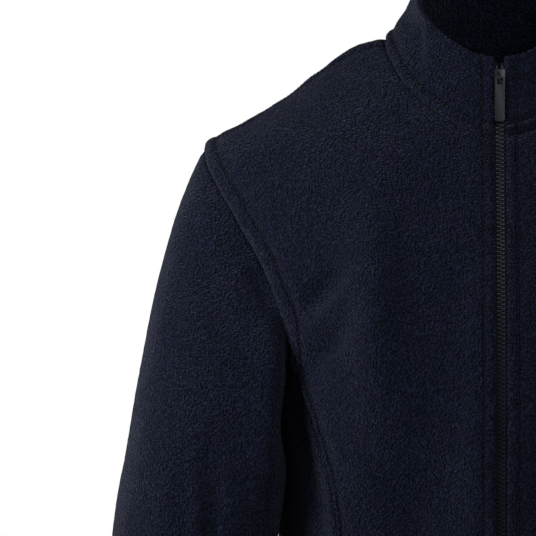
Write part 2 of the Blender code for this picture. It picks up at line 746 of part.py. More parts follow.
class ZipLine:
    """The centre line that the zip follows, from the hem to the top of the collar."""

    def __init__(self, cloth):
        front = cloth.pieces["front_right"]["grids"][0]
        collar = cloth.pieces["collar"]["grids"][0]
        rows_below_collar = next(i for i, row in enumerate(front) if row[0] == collar[0][0])
        self.edge = [row[0] for row in front[:rows_below_collar]] + [row[0] for row in collar]
        self.next = [row[1] for row in front[:rows_below_collar]] + [row[1] for row in collar]
        self.cloth = cloth
        self.points = [Vector((0, cloth.points[p].y, cloth.points[p].z)) for p in self.edge]
        self.outward = [
            Vector((0, cloth.normals[p].y, cloth.normals[p].z)).normalized() for p in self.edge
        ]
        self.marks = running_length(self.points)
        self.length = self.marks[-1]

    def stops(self, low, high):
        return [low, *(mark for mark in self.marks if low + 0.001 < mark < high - 0.001), high]

    def _mix(self, values, mark):
        i = min(int(np.searchsorted(self.marks, mark, side="right")) - 1, len(self.marks) - 2)
        share = (mark - self.marks[i]) / (self.marks[i + 1] - self.marks[i])
        return values[i].lerp(values[i + 1], share)

    def at(self, across, mark, depth):
        return self._mix(self.points, mark) - self._mix(self.outward, mark) * depth + Vector((across, 0, 0))

    def behind_front(self, side, across, mark, behind):
        """A point behind a front's inner face, on the line through its first two columns."""
        spots = []
        for p, q, outward in zip(self.edge, self.next, self.outward):
            first, second = self.cloth.inner_point(p, FLEECE), self.cloth.inner_point(q, FLEECE)
            share = (across - abs(first.x)) / (abs(second.x) - abs(first.x))
            spots.append(first.lerp(second, share) - outward * behind)
        spot = self._mix(spots, mark)
        return Vector((side * across, spot.y, spot.z))


def bar(name, rings, collection, material):
    """A closed bar through rings of four points."""
    faces = []
    for i in range(len(rings) - 1):
        low, high = 4 * i, 4 * i + 4
        faces += [[low + k, low + (k + 1) % 4, high + (k + 1) % 4, high + k] for k in range(4)]
    last = 4 * (len(rings) - 1)
    faces += [[3, 2, 1, 0], [last, last + 1, last + 2, last + 3]]
    mesh = bpy.data.meshes.new(name)
    mesh.from_pydata([p for ring in rings for p in ring], [], faces)
    shape = bmesh.new()
    shape.from_mesh(mesh)
    bmesh.ops.recalc_face_normals(shape, faces=shape.faces)
    shape.to_mesh(mesh)
    shape.free()
    mesh.materials.append(material)
    made = bpy.data.objects.new(name, mesh)
    collection.objects.link(made)
    return made


def strip_on_zip(name, line, side, span, across, depths, collection, material):
    """A bar that follows the zip between two distances along it."""
    rings = []
    for mark in line.stops(*span):
        corners = (
            (across[0], depths[0]),
            (across[1], depths[0]),
            (across[1], depths[1]),
            (across[0], depths[1]),
        )
        rings.append([line.at(side * a, mark, d) for a, d in corners])
    return bar(name, rings, collection, material)


def add_zip(line, collection):
    teeth_end = line.length - TOP_MARGIN
    teeth_start = BOX_START + BOX_LENGTH + PART_CLEARANCE
    tape, teeth, metal = finish("zip_tape"), finish("zip_teeth"), finish("zip_metal")
    for side, name in ((RIGHT, "right"), (LEFT, "left")):
        rings = []
        for mark in line.stops(TAPE_TRIM, line.length - TAPE_TRIM):
            near, far = TAPE_BEHIND, TAPE_BEHIND + TAPE_THICKNESS
            corners = ((TAPE_INNER, near), (TAPE_OUTER, near), (TAPE_OUTER, far), (TAPE_INNER, far))
            rings.append([line.behind_front(side, across, mark, depth) for across, depth in corners])
        bar(f"zip_tape_{name}", rings, collection, tape)
        strip_on_zip(
            f"zip_teeth_{name}",
            line,
            side,
            (teeth_start, teeth_end),
            (TEETH_INNER, TEETH_OUTER),
            (TEETH_FRONT, TEETH_BACK),
            collection,
            teeth,
        )
        strip_on_zip(
            f"zip_stop_{name}",
            line,
            side,
            (teeth_end + STOP_START, teeth_end + STOP_START + STOP_LENGTH),
            (STOP_INNER, TEETH_OUTER),
            (TEETH_FRONT, TEETH_BACK),
            collection,
            metal,
        )
    strip_on_zip(
        "zip_box",
        line,
        LEFT,
        (BOX_START, BOX_START + BOX_LENGTH),
        (-TEETH_OUTER, TEETH_OUTER),
        (BOX_FRONT, BOX_BACK),
        collection,
        teeth,
    )
    return teeth_end


def block(name, low, high, collection):
    """A box between two corners."""
    shape = bmesh.new()
    bmesh.ops.create_cube(shape, size=1.0)
    low, high = Vector(low), Vector(high)
    for vertex in shape.verts:
        vertex.co = Vector(
            (low[k] + (vertex.co[k] + 0.5) * (high[k] - low[k])) for k in range(3)
        )
    mesh = bpy.data.meshes.new(name)
    shape.to_mesh(mesh)
    shape.free()
    made = bpy.data.objects.new(name, mesh)
    collection.objects.link(made)
    return made


def bail(collection):
    """The slider's arch, a bent wire whose feet are sunk in the front plate."""
    curve = bpy.data.curves.new("bail", "CURVE")
    curve.dimensions = "3D"
    curve.bevel_depth = BAIL_WIRE
    curve.bevel_resolution = 2
    curve.use_fill_caps = True
    steps = 12
    foot_depth = FRONT_PLATE[0] + 0.0008
    points = [(0, foot_depth, -BAIL_HALF_LENGTH)]
    for i in range(steps + 1):
        angle = math.pi * i / steps
        out = FRONT_PLATE[0] - BAIL_HEIGHT * math.sin(angle)
        points.append((0, out, -BAIL_HALF_LENGTH * math.cos(angle)))
    points.append((0, foot_depth, BAIL_HALF_LENGTH))
    spline = curve.splines.new("POLY")
    spline.points.add(len(points) - 1)
    for point, (x, y, z) in zip(spline.points, points):
        point.co = (x, y, z + BAIL_CENTRE, 1)
    wire = bpy.data.objects.new("bail_wire", curve)
    collection.objects.link(wire)
    bpy.context.view_layer.update()
    mesh = bpy.data.meshes.new_from_object(wire.evaluated_get(bpy.context.evaluated_depsgraph_get()))
    shape = bmesh.new()
    shape.from_mesh(mesh)
    bmesh.ops.remove_doubles(shape, verts=shape.verts, dist=1e-6)
    bmesh.ops.recalc_face_normals(shape, faces=shape.faces)
    shape.to_mesh(mesh)
    shape.free()
    made = bpy.data.objects.new("bail", mesh)
    collection.objects.link(made)
    bpy.data.objects.remove(wire, do_unlink=True)
    return made


def rounded_outline(low, high, radius, steps=4):
    """The corners of a flat rectangle, each turned by a quarter circle."""
    centres = (
        (high[0] - radius, high[1] - radius, 0),
        (low[0] + radius, high[1] - radius, 90),
        (low[0] + radius, low[1] + radius, 180),
        (high[0] - radius, low[1] + radius, 270),
    )
    outline = []
    for x, y, start in centres:
        for i in range(steps + 1):
            angle = math.radians(start + 90 * i / steps)
            outline.append((x + radius * math.cos(angle), y + radius * math.sin(angle)))
    return outline


def add_slider(line, teeth_end, collection, cutters):
    """The slider, and the tab that swings on its arch."""
    foot = line.at(0, teeth_end - PLATE_BELOW, 0)
    head = line.at(0, teeth_end + PLATE_ABOVE, 0)
    up = (head - foot).normalized()
    lean = math.atan2(-up.y, up.z)
    origin = line.at(0, teeth_end, 0)
    slider = block(
        "zip_slider",
        (-PLATE_HALF_WIDTH, FRONT_PLATE[0], -PLATE_BELOW),
        (PLATE_HALF_WIDTH, FRONT_PLATE[1], PLATE_ABOVE),
        collection,
    )
    additions = [
        block(
            "slider_back",
            (-PLATE_HALF_WIDTH, BACK_PLATE[0], -PLATE_BELOW),
            (PLATE_HALF_WIDTH, BACK_PLATE[1], PLATE_ABOVE),
            cutters,
        ),
        block(
            "slider_post",
            (-POST_HALF_WIDTH, FRONT_PLATE[1] - 0.0004, POST_SPAN[0]),
            (POST_HALF_WIDTH, BACK_PLATE[0] + 0.0004, POST_SPAN[1]),
            cutters,
        ),
        bail(cutters),
    ]
    slider.data.materials.append(finish("zip_metal"))
    for thing in (slider, *additions):
        thing.location = origin
        thing.rotation_euler = (lean, 0, 0)
    for addition in additions[1:] + additions[:1]:
        addition.hide_render = True
        addition.display_type = "WIRE"
        union = slider.modifiers.new(addition.name, "BOOLEAN")
        union.operation = "UNION"
        union.object = addition

    curve = bpy.data.curves.new("zip_pull", "CURVE")
    curve.dimensions = "2D"
    curve.fill_mode = "BOTH"
    curve.extrude = TAB_HALF_THICKNESS
    outlines = (
        rounded_outline((-TAB_HALF_WIDTH, TAB_BOTTOM), (TAB_HALF_WIDTH, TAB_TOP), TAB_CORNER),
        rounded_outline(
            (-TAB_HOLE_HALF_WIDTH, TAB_HOLE_BOTTOM), (TAB_HOLE_HALF_WIDTH, TAB_HOLE_TOP), TAB_HOLE_CORNER
        ),
    )
    for outline in outlines:
        spline = curve.splines.new("POLY")
        spline.points.add(len(outline) - 1)
        for point, (x, y) in zip(spline.points, outline):
            point.co = (x, y, 0, 1)
        spline.use_cyclic_u = True
    curve.materials.append(finish("zip_metal"))
    tab = bpy.data.objects.new("zip_pull", curve)
    inward = Vector((0, math.cos(lean), math.sin(lean)))
    tab.location = origin + up * BAIL_CENTRE + inward * (FRONT_PLATE[0] - HINGE_ABOVE_PLATE)
    tab.rotation_euler = (lean + math.radians(90), 0, 0)
    collection.objects.link(tab)


def build():
    clear_scene()
    jacket = new_collection("fleece_zip_jacket")
    cutters = new_collection("joined_shapes")
    pattern = half_pattern()
    cloth = Cloth()
    add_body(cloth, pattern)
    add_collar(cloth, pattern)
    on_sleeve = add_sleeves(cloth, pattern)
    crease(cloth, on_sleeve)
    cloth.settle_normals()
    for name in cloth.pieces:
        cloth.solid(name, jacket, finish("fleece"))
    line = ZipLine(cloth)
    teeth_end = add_zip(line, jacket)
    add_slider(line, teeth_end, jacket, cutters)


build()
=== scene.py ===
"""The fleece zip jacket, dressed: fleece with its pile, seams and topstitching, and the zip."""

import heapq
import math

import bmesh
import bpy
import numpy as np
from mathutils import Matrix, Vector, kdtree, noise
from mathutils.bvhtree import BVHTree


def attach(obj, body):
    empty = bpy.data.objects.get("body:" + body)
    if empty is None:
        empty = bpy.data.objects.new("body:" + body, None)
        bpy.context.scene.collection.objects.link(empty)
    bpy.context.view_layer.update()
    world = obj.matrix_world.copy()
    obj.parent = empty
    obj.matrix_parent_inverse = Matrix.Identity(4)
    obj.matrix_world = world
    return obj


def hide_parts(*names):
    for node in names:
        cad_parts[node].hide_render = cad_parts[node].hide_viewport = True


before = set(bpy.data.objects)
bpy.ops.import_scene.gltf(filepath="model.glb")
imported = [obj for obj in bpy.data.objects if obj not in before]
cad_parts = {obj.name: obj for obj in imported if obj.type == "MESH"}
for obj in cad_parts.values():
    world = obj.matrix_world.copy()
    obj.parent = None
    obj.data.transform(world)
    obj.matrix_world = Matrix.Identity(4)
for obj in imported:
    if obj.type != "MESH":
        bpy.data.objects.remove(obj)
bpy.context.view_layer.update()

# ---------------------------------------------------------------------------------------------
# The fleece as it is cut. Every panel is micro fleece, knitted, brushed and tumbled until its
# pile rolls up into small pebbles. The panels are laid edge to edge here along their seam lines
# and smoothed as one cloth, so that each meets its neighbour, and are parted again when sewn.

PANELS = (
    "front_right",
    "front_left",
    "side_right",
    "side_left",
    "back",
    "sleeve_right",
    "sleeve_left",
    "collar",
)
FLEECE = 0.0022  # one layer
TURNED = 0.0044  # the hem and the cuffs, turned up on themselves
TURN_UP = 0.020
SEAM_REACH = 0.0006  # edges this close to each other are sewn together
SEAM_LAP = 0.00010  # each edge runs this far past the seam line, so that no light comes through
THICKEST = 0.0085  # more than any wall of the jacket
SLEEVE_SLICE = 0.02  # half the height of the slice of a sleeve whose middle is taken
COLLAR_MIDDLE = -0.012  # the middle of the neck, in front of the neck points
BODY_MIDDLE = -0.35  # the middle of the body, below the neck points
SEAM_CREASE, COLLAR_CREASE = 0.25, 0.75  # how sharply the cloth turns at a seam, 0 to 1
FINE, COARSE = 3, 2  # how often the outer and the inner face's cells are halved
FAR = 0.05  # distances over the cloth are measured up to this


def outward_from(name, centre, points):
    """The rough direction away from the wearer at a point of a panel."""
    if name.startswith("sleeve"):
        ring = points[np.abs(points[:, 2] - centre[2]) < SLEEVE_SLICE].mean(axis=0)
        return np.array((centre[0] - ring[0], centre[1] - ring[1], 0.0))
    if name == "collar":
        return np.array((centre[0], centre[1] - COLLAR_MIDDLE, 0.0))
    return np.array((centre[0], centre[1], centre[2] - BODY_MIDDLE))


def outer_face(name):
    """The triangles of a panel's outer face."""
    shape = bmesh.new()
    shape.from_mesh(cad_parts[name].data)
    bmesh.ops.remove_doubles(shape, verts=shape.verts, dist=1e-5)
    shape.normal_update()
    shape.verts.index_update()
    points = np.array([v.co[:] for v in shape.verts])
    walls = BVHTree.FromBMesh(shape)
    score = np.zeros(len(points))
    for face in shape.faces:
        centre = face.calc_center_median()
        hit = walls.ray_cast(centre - face.normal * 1e-4, -face.normal, THICKEST)
        if hit[0] is not None:
            away = outward_from(name, centre, points)
            weight = face.calc_area() * np.dot(face.normal, away / np.linalg.norm(away))
            score[[v.index for v in face.verts]] += weight
    triangles = [[v.index for v in f.verts] for f in shape.faces]
    shape.free()
    kept = [t for t in triangles if all(score[i] > 0 for i in t)]
    used = sorted({i for t in kept for i in t})
    number = {i: k for k, i in enumerate(used)}
    return points[used], [[number[i] for i in t] for t in kept]


def squared(points, triangles):
    """Pairs triangles into the four-sided cells of the panel's grid, following its lines."""
    beside = {}
    for t, triangle in enumerate(triangles):
        for k in range(3):
            beside.setdefault(frozenset((triangle[k], triangle[k - 1])), []).append(t)

    def opposite(t, edge):
        return next(i for i in triangles[t] if i not in edge)

    def straight(a, b, c):
        first, second = points[b] - points[a], points[c] - points[b]
        return np.dot(first, second) / (np.linalg.norm(first) * np.linalg.norm(second) + 1e-12)

    def slant(edge):
        """How far the cell across an edge is from square: 0 is square, 4 is flat."""
        if len(beside[edge]) != 2:
            return math.inf
        a, b = edge
        c, d = (opposite(t, edge) for t in beside[edge])
        ring = (a, c, b, d)
        return sum(abs(straight(ring[k - 2], ring[k - 1], ring[k])) for k in range(4))

    seed = min(beside, key=slant)
    a, b = seed
    c, d = (opposite(t, seed) for t in beside[seed])
    waiting = [(0.0, *sorted(beside[seed]), (a, c, b, d))]
    mate = {}
    while waiting:
        _, first, second, ring = heapq.heappop(waiting)
        if first in mate or second in mate:
            continue
        mate[first], mate[second] = second, first
        for k in range(4):
            before, u, w, after = (ring[(k + s) % 4] for s in range(4))
            edge = frozenset((u, w))
            for t in beside[edge]:
                if t in mate:
                    continue
                tip = opposite(t, edge)
                for near, far, behind_near, behind_far in ((u, w, before, after), (w, u, after, before)):
                    diagonal = frozenset((far, tip))
                    if len(beside[diagonal]) != 2:
                        continue
                    partner = next(s for s in beside[diagonal] if s != t)
                    corner = opposite(partner, diagonal)
                    fit = straight(behind_near, near, tip) + straight(behind_far, far, corner)
                    heapq.heappush(waiting, (-fit, t, partner, (near, tip, corner, far)))

    neighbours = [
        [s for k in range(3) for s in beside[frozenset((t[k], t[k - 1]))] if triangles[s] is not t]
        for t in triangles
    ]
    for start in range(len(triangles)):
        if start in mate:
            continue
        came_from, queue, end = {start: None}, [start], None
        while queue and end is None:
            t = queue.pop(0)
            for s in neighbours[t]:
                if s not in mate:
                    if s != start:
                        end = (t, s)
                        break
                elif mate[s] not in came_from and s not in came_from:
                    came_from[mate[s]] = (t, s)
                    queue.append(mate[s])
        while end is not None:
            t, s = end
            mate[t], mate[s] = s, t
            end = came_from[t]
    cells = []
    for t, s in mate.items():
        if t < s:
            a, b = set(triangles[t]) & set(triangles[s])
            cells.append((a, opposite(t, (a, b)), b, opposite(s, (a, b))))
    return cells


def lay_out_panels():
    """All panels in one mesh, joined where their edges meet, with each face's panel."""
    points, cells, owner = [], [], []
    for k, name in enumerate(PANELS):
        panel_points, triangles = outer_face(name)
        start = len(points)
        for ring in squared(panel_points, triangles):
            a, b, c = (panel_points[ring[i]] for i in range(3))
            facing = np.cross(b - a, c - b)
            centre = sum(panel_points[i] for i in ring) / 4
            if np.dot(facing, outward_from(name, centre, panel_points)) < 0:
                ring = ring[::-1]
            cells.append([start + i for i in ring])
            owner.append(k)
        points += [tuple(p) for p in panel_points]
    mesh = bpy.data.meshes.new("laid_out")
    mesh.from_pydata(points, [], cells)
    for _ in PANELS:
        mesh.materials.append(None)
    mesh.polygons.foreach_set("material_index", owner)
    shape = bmesh.new()
    shape.from_mesh(mesh)
    rim = [v for v in shape.verts if v.is_boundary]
    bmesh.ops.remove_doubles(shape, verts=rim, dist=SEAM_REACH)
    bmesh.ops.recalc_face_normals(shape, faces=shape.faces)
    crease = shape.edges.layers.float.new("crease_edge")
    collar = PANELS.index("collar")
    for edge in shape.edges:
        sewn = {f.material_index for f in edge.link_faces}
        if len(sewn) == 2:
            edge[crease] = COLLAR_CREASE if collar in sewn else SEAM_CREASE
    shape.to_mesh(mesh)
    shape.free()
    return mesh


def placed(name, data):
    """An object for a mesh, curve, lamp or camera, in the scene."""
    made = bpy.data.objects.new(name, data)
    bpy.context.scene.collection.objects.link(made)
    return made


def smoothed(mesh, levels):
    """The cloth's own curve through its cells, as points and faces with each face's panel."""
    holder = placed("smoothing", mesh)
    curve = holder.modifiers.new("curve", "SUBSURF")
    curve.levels = curve.render_levels = levels
    curve.boundary_smooth = "PRESERVE_CORNERS"
    curve.use_limit_surface = True
    evaluated = holder.evaluated_get(bpy.context.evaluated_depsgraph_get())
    fine = evaluated.to_mesh()
    count = len(fine.vertices)
    points = np.empty(count * 3)
    normals = np.empty(count * 3)
    fine.vertices.foreach_get("co", points)
    fine.vertices.foreach_get("normal", normals)
    faces = np.empty(len(fine.loops), dtype=int)
    fine.loops.foreach_get("vertex_index", faces)
    owner = np.empty(len(fine.polygons), dtype=int)
    fine.polygons.foreach_get("material_index", owner)
    evaluated.to_mesh_clear()
    bpy.data.objects.remove(holder)
    return points.reshape(-1, 3), normals.reshape(-1, 3), faces.reshape(-1, 4), owner


laid_out = lay_out_panels()
points, normals, faces, owner = smoothed(laid_out, FINE)
coarse_points, _, coarse_faces, coarse_owner = smoothed(laid_out, COARSE)
middle = np.array((0.0, 0.0, BODY_MIDDLE))
if np.median(np.einsum("ij,ij->i", normals, points - middle)) < 0:
    normals = -normals
    faces = faces[:, ::-1]
    coarse_faces = coarse_faces[:, ::-1]

edge_faces = {}
for f, ring in enumerate(faces):
    for k in range(4):
        a, b = int(ring[k - 1]), int(ring[k])
        edge_faces.setdefault((min(a, b), max(a, b)), []).append(f)


def quarters(edges):
    """Four points on each edge, a quarter of it apart."""
    return [points[a] * (1 - n / 4) + points[b] * (n / 4) for a, b in edges for n in range(4)]


def seam_between(*names):
    """The points of the seam lines between the first panel and the others."""
    first, others = PANELS.index(names[0]), {PANELS.index(n) for n in names[1:]}
    sewn = []
    for edge, pair in edge_faces.items():
        owners = {int(owner[f]) for f in pair}
        if len(pair) == 2 and first in owners and owners & others:
            sewn.append(edge)
    return quarters(sewn)


def free_edge(name, test):
    """The points of a panel's unsewn edge that pass a test."""
    panel = PANELS.index(name)
    unsewn = [edge for edge, pair in edge_faces.items() if len(pair) == 1 and owner[pair[0]] == panel]
    return quarters([(a, b) for a, b in unsewn if test(points[a]) and test(points[b])])


def lookup(cloud):
    """A tree that finds the nearest of many points."""
    tree = kdtree.KDTree(len(cloud))
    for i, p in enumerate(cloud):
        tree.insert(p, i)
    tree.balance()
    return tree


def distance_to(line):
    """Each cloth point's distance to a line of points."""
    tree = lookup(line)
    return np.array([min(FAR, tree.find(p)[2]) for p in points])


belongs = {}
for k, name in enumerate(PANELS):
    belongs[name] = np.zeros(len(points), dtype=bool)
    belongs[name][faces[owner == k]] = True

# ---------------------------------------------------------------------------------------------
# Seams and their stitched bands. The allowances lie inside and are stitched down, which leaves a
# raised band beside each seam: 12 mm on the body round the armholes, about 6 mm on the fronts
# beside the side panels and 8 mm round the neck. The hem and the cuffs are turned up and stitched.

ARMHOLE_BAND = 0.0120
SIDE_BAND_TOP, SIDE_BAND_BOTTOM = 0.0068, 0.0050
SIDE_BAND_NARROWS = (-0.33, -0.24)  # between these heights
NECK_BAND = 0.0078
SHOULDER_BAND = 0.0062
FRONT_EDGE_BAND = 0.0075
HEM_BAND = TURN_UP - 0.002
BAND_RISE = 0.0017
SHOULDER_RISE = 0.0010
FRONT_EDGE_RISE = 0.0005
HEM_RISE = 0.0004
BAND_ROUNDNESS = 0.7  # 1 is a half wave, less is flatter on top
SWELL = 0.35  # how high the cloth swells beyond the stitches, as a share of the band
SWELL_TOP, SWELL_END = 0.007, 0.018  # how far beyond them the swell is highest, and ends
SWELL_SPREAD = 0.45  # how gently it rises, as a share of the way to its top
SEAM_DEPTH = 0.0016
SEAM_WIDTH = 0.0022
CUFF_TOP, HEM_TOP = -0.55, -0.62  # the cuffs' and the hem's free edges lie below these heights
HEM_CORNER = 0.0046  # the hem ends this far from the middle
EDGE_AT_HEM, EDGE_ABOVE = 0.0052, 0.012  # the fronts' free edges lie within these of the middle
COLLAR_END = 0.006  # the collar's ends lie within this of the middle
NECK_FRONT = -0.03  # and in front of this


def step(values, start, end):
    t = np.clip((values - start) / (end - start), 0.0, 1.0)
    return t * t * (3 - 2 * t)


def bump(values, centre, width):
    return np.exp(-(((values - centre) / width) ** 2))


def at_front_edge(p):
    return abs(p[0]) < EDGE_AT_HEM or (abs(p[0]) < EDGE_ABOVE and p[2] > HEM_TOP)


def at_collar_end(p):
    return abs(p[0]) < COLLAR_END and p[1] < NECK_FRONT


def at_hem(p):
    return p[2] < HEM_TOP and abs(p[0]) > HEM_CORNER


def at_cuff(p):
    return p[2] < CUFF_TOP


relief = np.zeros(len(points))
from_stitches = np.full(len(points), FAR)
stitch_rows = []
seams = {}
collar_ends = free_edge("collar", at_collar_end)
for side in ("right", "left"):
    front, under_arm, sleeve = f"front_{side}", f"side_{side}", f"sleeve_{side}"
    seams[f"armhole_{side}"] = distance_to(seam_between(sleeve, front, "back", under_arm))
    seams[f"side_front_{side}"] = distance_to(seam_between(under_arm, front))
    seams[f"side_back_{side}"] = distance_to(seam_between(under_arm, "back"))
    seams[f"shoulder_{side}"] = distance_to(seam_between(front, "back"))
    seams[f"zip_{side}"] = distance_to(free_edge(front, at_front_edge) + collar_ends)
    seams[f"cuff_{side}"] = distance_to(free_edge(sleeve, at_cuff))
seams["neck"] = distance_to(seam_between("collar", "front_right", "front_left", "back"))
BODY = ("front_right", "front_left", "side_right", "side_left", "back")
seams["hem"] = distance_to([p for name in BODY for p in free_edge(name, at_hem)])


def stitched_band(distance, width, mask, rise=BAND_RISE):
    """Raises a soft band beside a seam, and notes how far each point is from its stitches."""
    global relief, from_stitches
    band = np.sin(math.pi * np.clip(distance / width, 0, 1)) ** BAND_ROUNDNESS * (distance < width)
    beyond = step(distance, width, width + SWELL_TOP)
    swell = SWELL * bump(beyond, 1.0, SWELL_SPREAD) * (distance >= width)
    swell *= 1 - step(distance, width + SWELL_TOP, width + SWELL_END)
    relief += mask * rise * (band + swell)
    signed = distance - width
    nearer = mask & (np.abs(signed) < np.abs(from_stitches))
    from_stitches = np.where(nearer, signed, from_stitches)
    stitch_rows.append((signed, mask))


for name, distance in seams.items():
    if name.startswith(("armhole", "side", "shoulder", "neck")):
        relief -= SEAM_DEPTH * bump(distance, 0.0, SEAM_WIDTH)

height = points[:, 2]
side_band = SIDE_BAND_BOTTOM + (SIDE_BAND_TOP - SIDE_BAND_BOTTOM) * step(height, *SIDE_BAND_NARROWS)
for side in ("right", "left"):
    body = belongs[f"front_{side}"] | belongs["back"]
    on_this_side = points[:, 0] * (-1 if side == "right" else 1) > 0
    stitched_band(seams[f"armhole_{side}"], ARMHOLE_BAND, body & on_this_side)
    stitched_band(seams[f"side_front_{side}"], side_band, belongs[f"front_{side}"])
    stitched_band(seams[f"side_back_{side}"], side_band, belongs["back"] & on_this_side)
    beside_zip = belongs[f"front_{side}"] | (belongs["collar"] & (points[:, 1] < 0) & on_this_side)
    stitched_band(seams[f"zip_{side}"], FRONT_EDGE_BAND, beside_zip, FRONT_EDGE_RISE)
    stitched_band(seams[f"shoulder_{side}"], SHOULDER_BAND, belongs["back"] & on_this_side, SHOULDER_RISE)
    stitched_band(seams[f"cuff_{side}"], HEM_BAND, belongs[f"sleeve_{side}"], HEM_RISE)
stitched_band(seams["neck"], NECK_BAND, belongs["collar"])
body_cloth = np.any([belongs[name] for name in BODY], axis=0)
stitched_band(seams["hem"], HEM_BAND, body_cloth, HEM_RISE)

# ---------------------------------------------------------------------------------------------
# How the cloth lies. The fleece is soft and light: it puckers a little along its stitching, and
# hangs in shallow folds from the shoulder, under the arm and at the bend of the sleeve.

